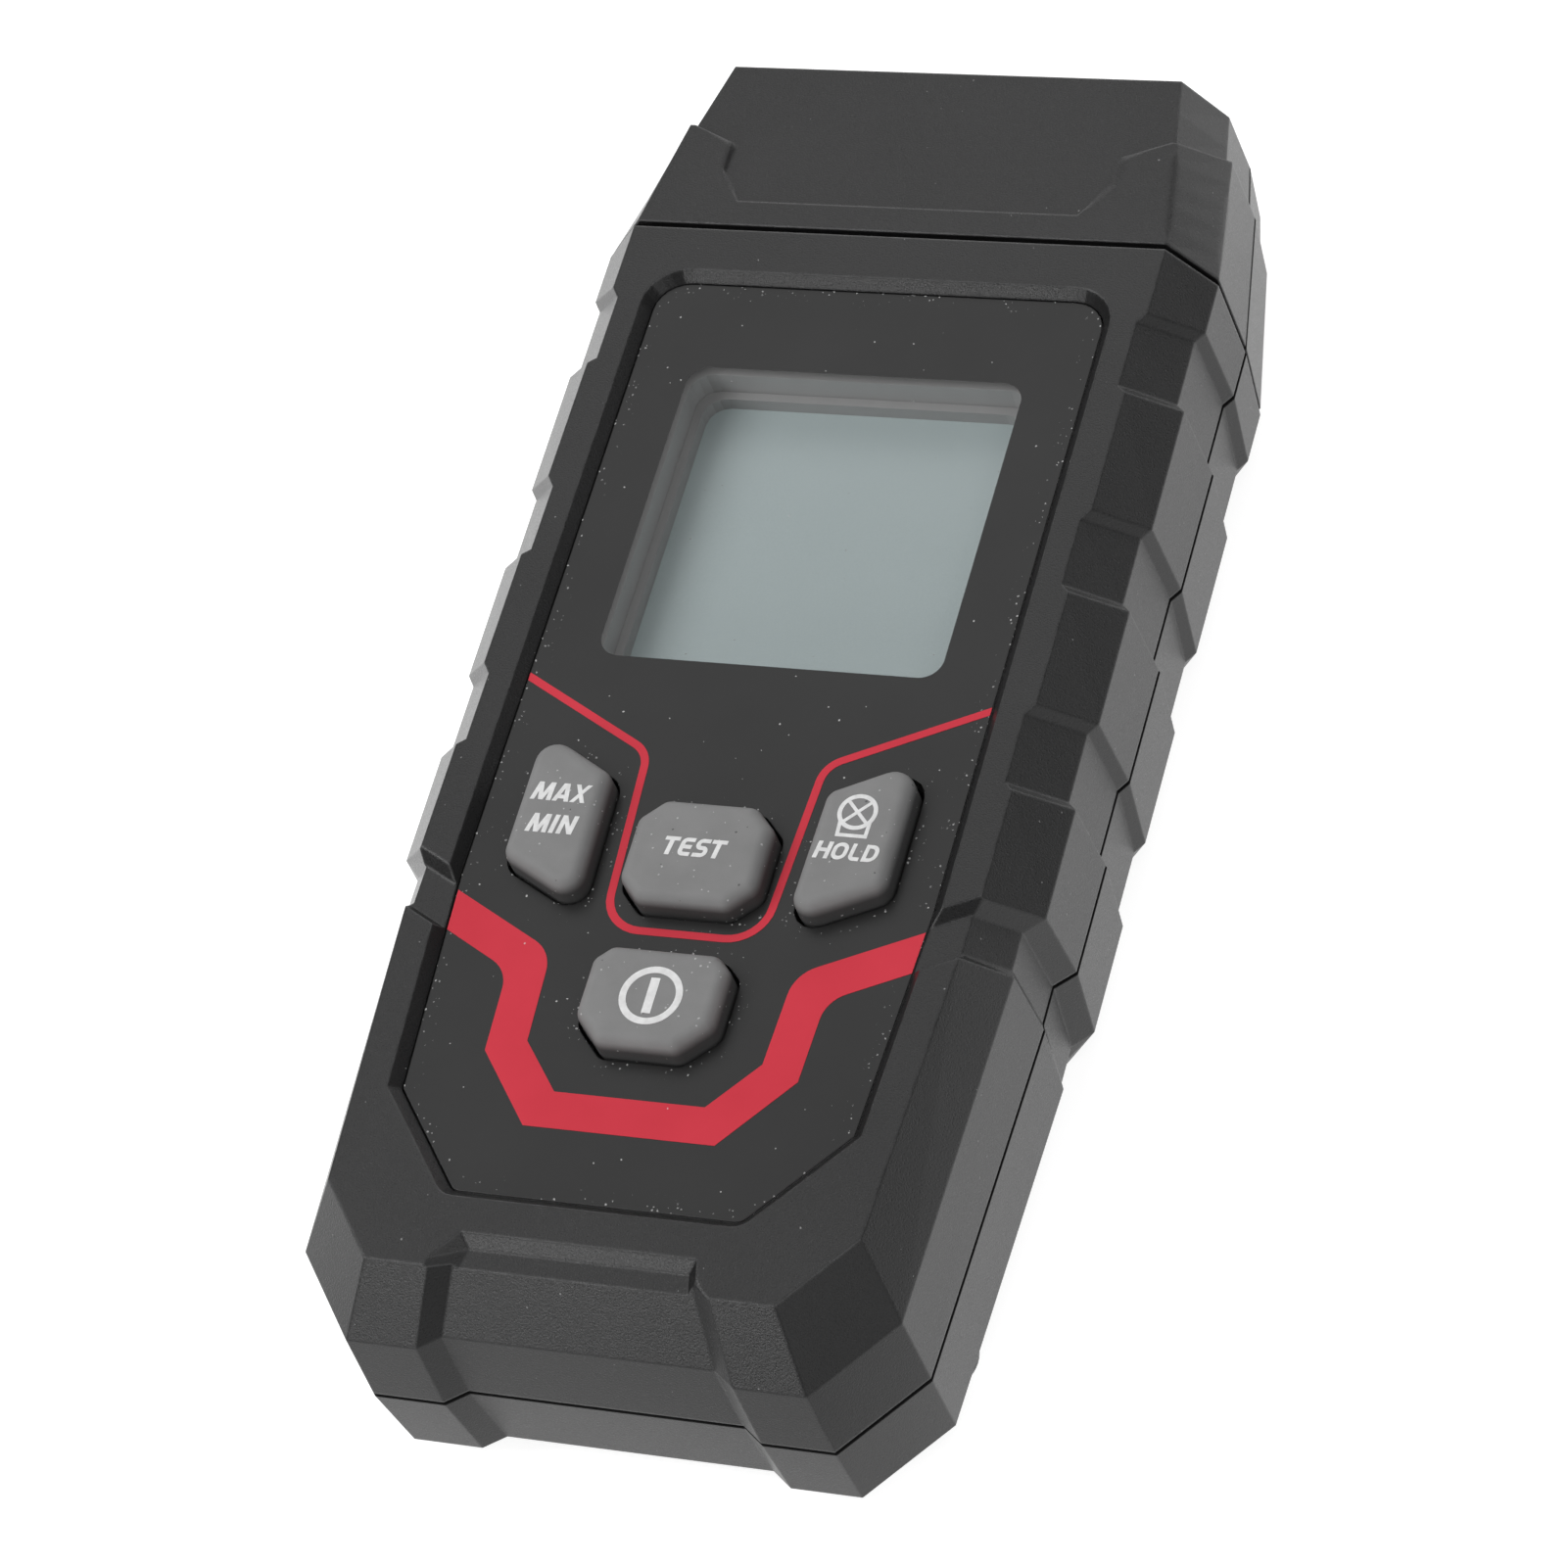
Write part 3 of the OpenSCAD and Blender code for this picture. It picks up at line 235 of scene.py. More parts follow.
# %% Metal group
metal_group, given, out = new_group("worked_metal", {"Size": 0.0004, "Stretch": 12.0},
                                    {"Height": 0.0, "Shade": 0.0})
tree = metal_group
place = add(tree, "TexCoord").outputs["Object"]
along = add(tree, "CombineXYZ", {"X": 1.0, "Y": maths(tree, "DIVIDE", 1.0, given["Stretch"]), "Z": 1.0})
drawn = add(tree, "VectorMath", {0: place, 1: along.outputs[0]}, operation="MULTIPLY").outputs["Vector"]
streaks = noise(tree, drawn, given["Size"], Detail=4.0)
tree.links.new(streaks, out["Height"])
tree.links.new(span(tree, streaks, *NOISE_SPAN), out["Shade"])
print("group", metal_group.name)

# %% [markdown]
# Each finish starts from one Principled shader. What is the same all over the surface is set on the
# shader's own sockets here. What varies is linked afterwards: colour, roughness, normal, alpha. Specks of
# dust or dirt lie over the tone, as a mask that covers it in part.

# %% Material helper
def new_material(name, **constants):
    """A material and its shader, with constant sockets set. An underscore stands for a space."""
    made = bpy.data.materials.new(name)
    made.use_nodes = True
    shader = made.node_tree.nodes["Principled BSDF"]
    for socket, value in constants.items():
        shader.inputs[socket.replace("_", " ")].default_value = value
    return made, made.node_tree, shader.inputs


def roughen(tree, shader, height, low, high):
    """Roughness between low and high, which follows a noise."""
    fill(tree, shader["Roughness"], span(tree, height, *NOISE_SPAN, low, high))


def speckle(tree, tone, mask, cover, colour):
    """The tone, with a mask's specks laid over it: cover is how much of the tone they hide."""
    return mix_colour(tree, maths(tree, "MULTIPLY", mask, cover), tone, colour)


def bump(tree, height, strength, depth, normal=None):
    """A normal shaken by a height that stands for a relief of that depth in metres."""
    made = add(tree, "Bump", {"Height": height, "Strength": strength, "Distance": depth})
    if normal is not None:
        tree.links.new(normal, made.inputs["Normal"])
    return made.outputs["Normal"]


def dress(material, *names):
    """Gives the CAD nodes of those names this material."""
    for name in names:
        nodes[name].data.materials.clear()
        nodes[name].data.materials.append(material)
    print(material.name, "on", ", ".join(names))


# %% [markdown]
# The case is charcoal ABS, moulded with a fine grain. Its flat faces look nearly black, and faces
# seen at a low angle mirror the white table, which is what makes the notches read. Three things vary
# from place to place: edges are painted pale, partly wear and partly a painted highlight; the faces along
# the groove at the parting line are painted nearly black, a painted shade; and the long chamfers of the
# head blend into its front with a wider radius than the other edges have.

# %% Charcoal case
PARTING_Z = np.array((12.25, 12.3, 12.73, 12.78)) * MM
COLLAR_Y = np.array((46.0, 47.5, 54.3, 55.8)) * MM
COLLAR_X = np.array((16.5, 17.5)) * MM
EDGE_RADIUS, COLLAR_RADIUS = 0.35 * MM, 1.2 * MM
EDGE_WEAR_AND_HIGHLIGHT, COLLAR_WEAR_AND_HIGHLIGHT = 0.8, 0.1
CASE_SHADES = grey(0.014, 1.02), grey(0.017, 1.02)
WORN_AND_HIGHLIT_CASE = grey(0.13, 1.02)
GROOVE_PAINTED_SHADE = grey(0.003)

charcoal, tree, shader = new_material("charcoal_case", Specular_IOR_Level=0.46)
place = object_axes(tree)
groove = within(tree, place["Z"], *PARTING_Z)
along = within(tree, place["Y"], *COLLAR_Y)
outer = span(tree, maths(tree, "ABSOLUTE", place["X"]), *COLLAR_X)
collar = maths(tree, "MULTIPLY", along, outer)
grain = use_group(tree, grain_group, Size=0.00017)
edges = use_group(tree, edge_group, Radius=span(tree, collar, 0.0, 1.0, EDGE_RADIUS, COLLAR_RADIUS))
dust = use_group(tree, dust_group, Share=0.14, Cell=0.001, Speck=0.1)
tone = mix_colour(tree, grain["Cloud"], *CASE_SHADES)
# Edges are painted pale: partly wear, partly a painted highlight.
edge_wear_and_highlight = maths(tree, "MULTIPLY", edges["Edge Mask"], span(tree, collar, 0.0, 1.0, EDGE_WEAR_AND_HIGHLIGHT, COLLAR_WEAR_AND_HIGHLIGHT))
tone = mix_colour(tree, edge_wear_and_highlight, tone, WORN_AND_HIGHLIT_CASE)
tone = speckle(tree, tone, dust["Mask"], 0.6, grey(0.4))
# The faces along the parting groove are painted nearly black: painted shade that widens the groove.
tone = mix_colour(tree, groove, tone, GROOVE_PAINTED_SHADE)
fill(tree, shader["Base Color"], tone)
sheen = span(tree, grain["Height"], *NOISE_SPAN, 0.26, 0.36)
fill(tree, shader["Roughness"], span(tree, groove, 0.0, 1.0, sheen, 1.0))
fill(tree, shader["Normal"], bump(tree, grain["Height"], 0.6, 0.00005, edges["Normal"]))
dress(charcoal, "front_case", "rear_case", "head_cap", "battery_door")

# %% [markdown]
# The front panel is one clear sheet, printed black on its face, with the window left unprinted.
# So it stays one piece here too, and only its alpha changes: nearly clear inside a rounded rectangle.
# The mask is the distance to that shape: how far |x| and |y| lie past its straight part, as one
# length, less the corner radius. The back of the sheet bears no print, so its clear part reaches further.
# Light also creeps under the print's edge inside the sheet, so close to the window the print lets some
# light through, which the eye doesn't see from outside. Dust gathers where the sheet's edges are. The
# sheet's outer sides are painted pale grey, partly dust and partly painted light in the slit, so that
# the slit round the sheet reads as a thin line.

# %% Black panel
WINDOW_Y = 14.75 * MM
WINDOW_HALF = np.array((15.55, 15.35)) * MM
WINDOW_CORNER = 2.0 * MM
WINDOW_EDGE = 0.03 * MM
PRINT_DEPTH = 0.4 * MM
CLEAR_BEHIND = 4.0 * MM
CREEP, CREEP_IN = 0.35, 2.5 * MM
KEYS_HALF, KEYS_FOOT = 18.4 * MM, -40.6 * MM
SIDE_BELOW, SIDE_SOFT = 0.06 * MM, 0.06 * MM
SIDE_DUST_AND_PAINTED_LIGHT = grey(0.26)
LINT_FULL, LINT_SHARE = 0.4, (0.01, 0.6)
CLEAR_ALPHA, SPECK_ALPHA = 0.06, 0.5
panel_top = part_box("front_panel")[1].z

black, tree, shader = new_material("black_panel", Specular_IOR_Level=0.4)
place = add(tree, "TexCoord").outputs["Object"]
centred = add(tree, "Mapping", {"Vector": place, "Location": (0.0, -WINDOW_Y, 0.0)}).outputs[0]
apart = add(tree, "SeparateXYZ", {0: centred}).outputs
past = [
    maths(tree, "MAXIMUM", maths(tree, "SUBTRACT", maths(tree, "ABSOLUTE", axis), half - WINDOW_CORNER), 0.0)
    for axis, half in zip(apart, WINDOW_HALF)
]
corner = add(tree, "CombineXYZ", {"X": past[0], "Y": past[1]}).outputs[0]
distance = add(tree, "VectorMath", {0: corner}, operation="LENGTH").outputs["Value"]
behind = maths(tree, "LESS_THAN", apart["Z"], panel_top - PRINT_DEPTH)
distance = maths(tree, "SUBTRACT", distance, maths(tree, "MULTIPLY", behind, CLEAR_BEHIND))
printed = span(tree, distance, WINDOW_CORNER - WINDOW_EDGE, WINDOW_CORNER + WINDOW_EDGE)
grain = use_group(tree, grain_group, Size=0.00012)
edges = use_group(tree, edge_group, Radius=0.00015)
brim = use_group(tree, edge_group, Radius=0.0025)
dust = use_group(tree, dust_group, Share=0.16, Cell=0.001, Speck=0.09)
gathered = span(tree, brim["Edge Mask"], 0.0, LINT_FULL, *LINT_SHARE)
lint = use_group(tree, dust_group, Share=gathered, Cell=0.0004, Speck=0.25)
specks = maths(tree, "MAXIMUM", dust["Mask"], lint["Mask"])
beside_keys = maths(tree, "GREATER_THAN", maths(tree, "ABSOLUTE", apart["X"]), KEYS_HALF)
past_keys = maths(tree, "MAXIMUM", beside_keys, maths(tree, "LESS_THAN", apart["Y"], KEYS_FOOT - WINDOW_Y))
below = span(tree, apart["Z"], panel_top - SIDE_BELOW, panel_top - SIDE_BELOW - SIDE_SOFT)
tone = mix_colour(tree, grain["Cloud"], grey(0.015), grey(0.019))
# The sheet's outer sides, away from the keys, are painted pale: dust and painted light in the slit.
tone = mix_colour(tree, maths(tree, "MULTIPLY", below, past_keys), tone, SIDE_DUST_AND_PAINTED_LIGHT)
tone = speckle(tree, tone, specks, 0.85, grey(0.6))
fill(tree, shader["Base Color"], tone)
roughen(tree, shader, grain["Height"], 0.3, 0.4)
fill(tree, shader["Normal"], bump(tree, grain["Height"], 0.12, 0.00002, edges["Normal"]))
unseen = span(tree, add(tree, "LightPath").outputs["Is Camera Ray"], 0.0, 1.0, CREEP, 0.0)
creep = span(tree, distance, WINDOW_CORNER, WINDOW_CORNER + CREEP_IN, unseen, 0.0)
shown = maths(tree, "MULTIPLY", printed, maths(tree, "SUBTRACT", 1.0, creep))
cover = maths(tree, "MAXIMUM", shown, maths(tree, "MULTIPLY", dust["Mask"], SPECK_ALPHA))
fill(tree, shader["Alpha"], span(tree, cover, 0.0, 1.0, CLEAR_ALPHA, 1.0))
dress(black, "front_panel")

# %% [markdown]
# Behind the window a grey moulded frame steps down to the display, and it is a little darker from its ledge
# down.
# The display itself is glass with a grey-green polariser, switched off: a faint cloud and a soft sheen
# are all that shows.

# %% Display and frame
LEDGE_ABOVE_GLASS = 1.4 * MM
LEDGE_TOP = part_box("lcd_glass")[1].z + LEDGE_ABOVE_GLASS
LEDGE_FROM, LEDGE_FULL = LEDGE_TOP + 0.3 * MM, LEDGE_TOP + 0.1 * MM

frame_grey, tree, shader = new_material("display_frame_grey", Specular_IOR_Level=0.5)
grain = use_group(tree, grain_group, Size=0.00015)
height = object_axes(tree)["Z"]
wall = mix_colour(tree, grain["Cloud"], grey(0.38), grey(0.41))
# The frame is a little darker from the ledge's top down.
ledge = span(tree, height, LEDGE_FROM, LEDGE_FULL)
fill(tree, shader["Base Color"], mix_colour(tree, ledge, wall, grey(0.35)))
roughen(tree, shader, grain["Height"], 0.28, 0.38)
fill(tree, shader["Normal"], bump(tree, grain["Height"], 0.1, 0.00002))
dress(frame_grey, "lcd_bezel")

polariser, tree, shader = new_material("display_polariser", Specular_IOR_Level=0.4)
grain = use_group(tree, grain_group, Size=0.00018, Cloud_Size=0.02)
shade = mix_colour(tree, grain["Cloud"], (0.41, 0.485, 0.49, 1.0), (0.435, 0.51, 0.515, 1.0))
sparkle = mix_colour(tree, span(tree, grain["Height"], *NOISE_SPAN), shade, (0.465, 0.54, 0.545, 1.0))
fill(tree, shader["Base Color"], sparkle)
roughen(tree, shader, grain["Height"], 0.3, 0.42)
fill(tree, shader["Normal"], bump(tree, grain["Height"], 0.05, 0.00001))
dress(polariser, "lcd_glass")

# %% [markdown]
# Flat print and rubber keys need outlines with round corners. A corner's arc has its centre on the
# bisector of the two sides that meet there, and all corners are worked out together as arrays.

# %% Outline helpers
SAME_POINT = 1e-6


def unit(vectors):
    """Each vector at length 1."""
    return vectors / np.linalg.norm(vectors, axis=-1, keepdims=True)


def corner_arcs(before, corners, after, radius, steps):
    """Each corner as an arc of steps + 1 points.

    With a and b the directions to the points before and after, the centre lies radius / sin(half) from
    the corner along a + b, where half is half the angle between them. The arc starts radius / tan(half)
    from the corner along a, and turns by 180 degrees less that angle.
    """
    a = unit(before - corners)
    b = unit(after - corners)
    half = np.arccos(np.sum(a * b, axis=1)) / 2
    radius = np.broadcast_to(radius, half.shape)
    centre = corners + unit(a + b) * (radius / np.sin(half))[:, None]
    spoke = corners + a * (radius / np.tan(half))[:, None] - centre
    side = -np.sign(a[:, 0] * b[:, 1] - a[:, 1] * b[:, 0])
    angle = np.arctan2(spoke[:, 1], spoke[:, 0])[:, None]
    angle = angle + (side * (np.pi - 2 * half))[:, None] * np.linspace(0, 1, steps + 1)
    rays = np.stack((np.cos(angle), np.sin(angle)), axis=-1)
    return centre[:, None] + radius[:, None, None] * rays


def distinct(points):
    """The points, without those that repeat the one before: an arc of radius 0 is one point many times."""
    apart = np.linalg.norm(np.diff(points, axis=0), axis=1) > SAME_POINT
    return points[np.append(True, apart)]


def rounded_outline(corners, radius, steps=8):
    """A closed outline, counter-clockwise, with its corners turned into arcs. Radius 0 keeps one sharp."""
    corners = np.asarray(corners, float)
    arcs = corner_arcs(np.roll(corners, 1, axis=0), corners, np.roll(corners, -1, axis=0), radius, steps)
    return distinct(arcs.reshape(-1, 2))


def rounded_path(corners, radius, steps=8):
    """An open path with its inner corners turned into arcs. Its two ends stay as they are."""
    corners = np.asarray(corners, float)
    arcs = corner_arcs(corners[:-2], corners[1:-1], corners[2:], radius, steps)
    return distinct(np.concatenate((corners[:1], arcs.reshape(-1, 2), corners[-1:])))


def outward(outline):
    """The outline's normals, each weighted so that a shift along it keeps both sides parallel."""
    ahead = unit(np.roll(outline, -1, axis=0) - outline)
    normal = np.stack((ahead[:, 1], -ahead[:, 0]), axis=1)
    behind = np.roll(normal, 1, axis=0)
    return (normal + behind) / (1 + np.sum(normal * behind, axis=1, keepdims=True))


# %% [markdown]
# Every new piece is a skin through rings of points, one ring after another along the piece.
# The rings are one array, so the faces are worked out from a grid of indices, with no loop.

# %% Skin helper
def finish_piece(piece, body, material, replaced=()):
    """Puts a piece in the scene on its body, with its finish and the CAD nodes it stands for."""
    bpy.context.scene.collection.objects.link(piece)
    piece.data.materials.append(material)
    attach(piece, body)
    if replaced:
        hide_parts(*replaced)
    print(piece.name, "on", body, len(piece.data.polygons), "faces")


def grid_faces(index, loop):
    """The quads between neighbours of a grid of point numbers, and two flat ends if it doesn't loop."""
    beside = np.roll(index, -1, axis=1)
    ahead, ahead_beside = np.roll(index, -1, axis=0), np.roll(beside, -1, axis=0)
    quads = np.stack((index, beside, ahead_beside, ahead), axis=-1)
    if loop:
        return quads.reshape(-1, 4).tolist()
    return quads[:-1].reshape(-1, 4).tolist() + [index[0, ::-1].tolist(), index[-1].tolist()]


def skin(name, *parts, smooth_angle=0.6):
    """An object skinned over one or more parts, each a pair: rings[v, u], and whether they loop.

    A ring runs counter-clockwise as seen from the next ring. Lengths are in millimetres.
    """
    points = np.concatenate([rings.reshape(-1, 3) for rings, loop in parts])
    faces, first = [], 0
    for rings, loop in parts:
        count = rings.shape[0] * rings.shape[1]
        faces += grid_faces(first + np.arange(count).reshape(rings.shape[:2]), loop)
        first += count
    mesh = bpy.data.meshes.new(name)
    mesh.from_pydata((points * MM).tolist(), [], faces)
    mesh.shade_smooth()
    mesh.set_sharp_from_angle(angle=smooth_angle)
    return bpy.data.objects.new(name, mesh)


def stacked(outline, profile):
    """Rings of an outline moved inward and up: the point p - inset * n(p), at each profile height."""
    inset, height = np.asarray(profile, float).T
    plan = outline[None] - inset[:, None, None] * outward(outline)[None]
    level = np.broadcast_to(height[:, None, None], (len(height), len(outline), 1))
    return np.concatenate((plan, level), axis=2)


def ribbon(path, width, low, high, closed=False, cut_along_y=False):
    """Rings of a flat band along a path: the path moved sideways by half its width, at two heights.

    The shift at a bend is the sum of both sides' normals over 1 + their dot product, a mitre. With
    cut_along_y, both ends are cut parallel to Y, as print is cut by a panel's edge.
    """
    path = np.asarray(path, float)
    ahead = unit(np.roll(path, -1, axis=0) - path)
    behind = np.roll(ahead, 1, axis=0)
    if not closed:
        ahead[-1], behind[0] = behind[-1], ahead[0]
    left, left_behind = (np.stack((-d[:, 1], d[:, 0]), axis=1) for d in (ahead, behind))
    shift = (left + left_behind) / (1 + np.sum(left * left_behind, axis=1, keepdims=True))
    if cut_along_y:
        ends = [0, -1]
        shift[ends] = np.stack((np.zeros(2), 1 / shift[ends, 1]), axis=1)
    sides = np.stack((path + shift * width / 2, path - shift * width / 2), axis=1)
    corners = sides[:, [0, 0, 1, 1]]
    level = np.broadcast_to(np.array((low, high, high, low))[None, :, None], (len(path), 4, 1))
    return np.concatenate((corners, level), axis=2)


# %% [markdown]
# Two red stripes are printed on the panel: a thin one that runs round the test key and out to both
# edges, and a broad one below it that folds round the power key. Print is a film of ink a few hundredths
# of a millimetre thick. The thin stripe is a band along a path. The broad one has its own radius on each
# side of a bend, so it is an outline: its under side from left to right, and its upper side back.

# %% Red stripes
INK = 0.03
face = panel_top / MM

red, tree, shader = new_material("red_print", Specular_IOR_Level=0.15)
grain = use_group(tree, grain_group, Size=0.00015)
dust = use_group(tree, dust_group, Share=0.05)
tone = mix_colour(tree, grain["Cloud"], (0.63, 0.037, 0.06, 1.0), (0.69, 0.044, 0.07, 1.0))
tone = speckle(tree, tone, dust["Mask"], 0.5, grey(0.7))
fill(tree, shader["Base Color"], tone)
roughen(tree, shader, grain["Height"], 0.36, 0.46)
fill(tree, shader["Normal"], bump(tree, grain["Height"], 0.1, 0.00002))


def both_sides(half, radius):
    """Points and radii on both sides of the middle. half lists the right side, from the middle out."""
    half, radius = np.asarray(half, float), np.asarray(radius, float)
    return np.concatenate((half[::-1] * (-1, 1), half)), np.concatenate((radius[::-1], radius))


THIN_WIDTH = 0.7
THIN_STRIPE = [(6.98, -27.25), (7.96, -9.99), (20.86, -3.38)]
points, radius = both_sides(THIN_STRIPE, (3.4, 2.6, 0.0))
thin = rounded_path(points, radius[1:-1])
rings = ribbon(thin, THIN_WIDTH, face - INK, face + INK, cut_along_y=True)
finish_piece(skin("thin_stripe", (rings, False)), "case", red)

BROAD_UNDER = [(8.36, -46.25), (13.72, -39.77), (14.06, -32.12), (20.56, -28.83)]
BROAD_OVER = [(6.59, -42.9), (10.32, -38.5), (10.75, -29.95), (20.75, -24.95)]
under, under_radius = both_sides(BROAD_UNDER, (0.0, 0.0, 3.0, 0.0))
over, over_radius = both_sides(BROAD_OVER, (0.0, 0.0, 3.3, 0.0))
around, around_radius = np.concatenate((under, over[::-1])), np.concatenate((under_radius, over_radius[::-1]))
broad = rounded_outline(around, around_radius)
rings = stacked(broad, [(0.0, face - INK), (0.0, face + INK)])
finish_piece(skin("broad_stripe", (rings, False)), "case", red)

# %% [markdown]
# The keys are soft grey rubber. On the real object each is a moulded cap with a flange under the case
# wall that keeps it in. A straight shaft comes up through the wall and ends in a rounded shoulder.
# One profile gives all that, carried round each key's outline: the shoulder is a quarter ellipse. Fine
# pits and pale dust mark the tops, and the sides are painted darker: painted shade.

# %% Rubber keys
KEY_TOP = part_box("test_key")[1].z / MM - 2 * INK
KEY_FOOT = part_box("test_key")[0].z / MM
FLANGE = 1.0
SHOULDER_IN = 1.15
SHOULDER_DOWN = 1.3
MIDDLE_KEY_WIDTH = 12.2
SIDE_KEY_IN, SIDE_KEY_OUT = 9.2, 17.0
SIDE_KEY_LEAN = 0.4
SIDE_KEY_SLANT = 3.9
SIDE_KEY_HEIGHT = 12.7
KEY_CORNER = 1.3
SIDE_KEY_CORNERS = (1.7, 1.5, 1.9, 1.5)
SHADE_FULL, SHADE_FROM = (KEY_TOP - 1.4) * MM, (KEY_TOP - 0.5) * MM
KEY_SIDE_PAINTED_SHADE = grey(0.08)


def cut_box(width, height, up, down, y):
    """A box about (0, y) with its corners cut at 45 degrees: up at the top and down at the bottom."""
    w, h = width / 2, height / 2
    right = [(w - down, -h), (w, down - h), (w, h - up), (w - up, h)]
    left = [(-x, v) for x, v in reversed(right)]
    return np.array(right + left) + (0, y)


def side_key(y):
    """The right side key: its inner side is straight up, and its two ends slant up and out."""
    low, high, slant = y - SIDE_KEY_HEIGHT / 2, y + SIDE_KEY_HEIGHT / 2, SIDE_KEY_SLANT / 2
    return np.array([(SIDE_KEY_IN, low - slant), (SIDE_KEY_OUT, low + slant), (SIDE_KEY_OUT, high + slant),
                     (SIDE_KEY_IN + SIDE_KEY_LEAN, high - slant)])


turn_up = np.linspace(0, np.pi / 2, 9)
shoulder_height = KEY_TOP - SHOULDER_DOWN * (1 - np.sin(turn_up))
shoulder = np.stack((SHOULDER_IN * (1 - np.cos(turn_up)), shoulder_height), axis=1)
flange = [(-FLANGE, KEY_FOOT), (-FLANGE, KEY_FOOT + FLANGE), (0.0, KEY_FOOT + FLANGE)]
key_profile = np.concatenate((flange, shoulder))
TEST_Y, POWER_Y, SIDE_Y = -20.55, -34.55, -17.95
right_key = rounded_outline(side_key(SIDE_Y), SIDE_KEY_CORNERS)
key_outlines = {
    "test": rounded_outline(cut_box(MIDDLE_KEY_WIDTH, 10.0, 2.1, 2.1, TEST_Y), KEY_CORNER),
    "power": rounded_outline(cut_box(MIDDLE_KEY_WIDTH, 9.4, 1.47, 2.625, POWER_Y), KEY_CORNER),
    "hold": right_key,
    "max_min": right_key[::-1] * (-1, 1),
}

rubber, tree, shader = new_material("grey_key_rubber", Specular_IOR_Level=0.25)
grain = use_group(tree, grain_group, Size=0.00018, Cloud_Size=0.003)
pits = use_group(tree, dust_group, Share=0.15, Cell=0.0008, Speck=0.14)
dust = use_group(tree, dust_group, Share=0.45, Cell=0.0006, Speck=0.17)
tone = mix_colour(tree, grain["Cloud"], grey(0.225), grey(0.25))
# The sides are painted darker below the top: painted shade.
upper = span(tree, object_axes(tree)["Z"], SHADE_FULL, SHADE_FROM)
tone = mix_colour(tree, upper, KEY_SIDE_PAINTED_SHADE, tone)
tone = speckle(tree, tone, pits["Mask"], 0.7, grey(0.05))
tone = speckle(tree, tone, dust["Mask"], 0.5, grey(0.7))
fill(tree, shader["Base Color"], tone)
roughen(tree, shader, grain["Height"], 0.58, 0.7)
pitted = maths(tree, "SUBTRACT", grain["Height"], pits["Mask"])
fill(tree, shader["Normal"], bump(tree, pitted, 0.2, 0.00004))
for name, outline in key_outlines.items():
    cap = skin(name + "_cap", (stacked(outline, key_profile), False))
    finish_piece(cap, name + "_button", rubber, [name + "_key"])

# %% [markdown]
# White print on the keys says what they do: plain words, a lamp and the power sign. Every letter is
# drawn one unit high from three kinds of stroke: legs between two level cuts, bars that may bend, and
# closed rings. A word leans its letters and sets each one at its own place on the key.

# %% Key print
ink, tree, shader = new_material("white_key_print", Specular_IOR_Level=0.3)
grain = use_group(tree, grain_group, Size=0.0002, Cloud_Size=0.0006)
fill(tree, shader["Base Color"], mix_colour(tree, grain["Cloud"], grey(0.72), grey(0.86)))
roughen(tree, shader, grain["Height"], 0.45, 0.6)
fill(tree, shader["Normal"], bump(tree, grain["Height"], 0.2, 0.00002))


SLANT = 0.155
WORD_HAIR, SIGN_HAIR = 0.001, 0.003
LEG = 0.23
BAR = 0.21
ROUND = 0.18
LEGS = {
    "M": [(0.114, 0.22), (0.543, 0.225), (0.543, 0.83), (0.945, 0.85)], "I": [(0.117, 0.117)],
    "A": [(0.12, 0.36), (0.726, 0.444)], "X": [(0.116, 0.676), (0.667, 0.086)],
    "N": [(0.116, 0.116), (0.675, 0.1), (0.663, 0.663)], "T": [(0.375, 0.375)],
    "H": [(0.123, 0.123), (0.695, 0.695)],
}
BARS = {
    "A": [[(0.2, 0.257), (0.66, 0.257)]], "T": [[(0.0, 0.895), (0.752, 0.895)]],
    "H": [[(0.12, 0.51), (0.7, 0.51)]], "L": [[(0.115, 1.0), (0.115, 0.105), (0.6, 0.105)]],
    "E": [[(0.66, 0.895), (0.115, 0.895), (0.115, 0.105), (0.65, 0.105)], [(0.12, 0.5), (0.6, 0.5)]],
    "S": [[(0.66, 0.895), (0.12, 0.895), (0.12, 0.5), (0.59, 0.5), (0.59, 0.105), (0.01, 0.105)]],
}
RINGS = {
    "O": ([(0.11, 0.105), (0.71, 0.105), (0.71, 0.895), (0.11, 0.895)], (0.28, 0.28, 0.28, 0.28)),
    "D": ([(0.115, 0.105), (0.665, 0.105), (0.665, 0.895), (0.115, 0.895)], (0.0, 0.32, 0.32, 0.0)),
}


def leg(bottom, top):
    """A straight stroke between two level cuts: both sides run from (bottom, 0) to (top, 1)."""
    middle = np.array(((bottom, 0.0), (top, 1.0)))[:, None, :]
    sides = middle + np.array(((-LEG, 0), (-LEG, 0), (LEG, 0), (LEG, 0))) / 2
    return np.concatenate((sides, np.tile(np.array((0, 1, 1, 0.0))[:, None], (2, 1, 1))), axis=2)


def letter(name):
    """The strokes of a letter one unit high, each as rings between the heights 0 and 1."""
    strokes = [(leg(*ends), False) for ends in LEGS.get(name, [])]
    for path in BARS.get(name, []):
        bent = rounded_path(path, ROUND) if len(path) > 2 else path
        strokes.append((ribbon(bent, BAR, 0.0, 1.0), False))
    if name in RINGS:
        strokes.append((ribbon(rounded_outline(*RINGS[name]), BAR, 0.0, 1.0, closed=True), True))
    return strokes


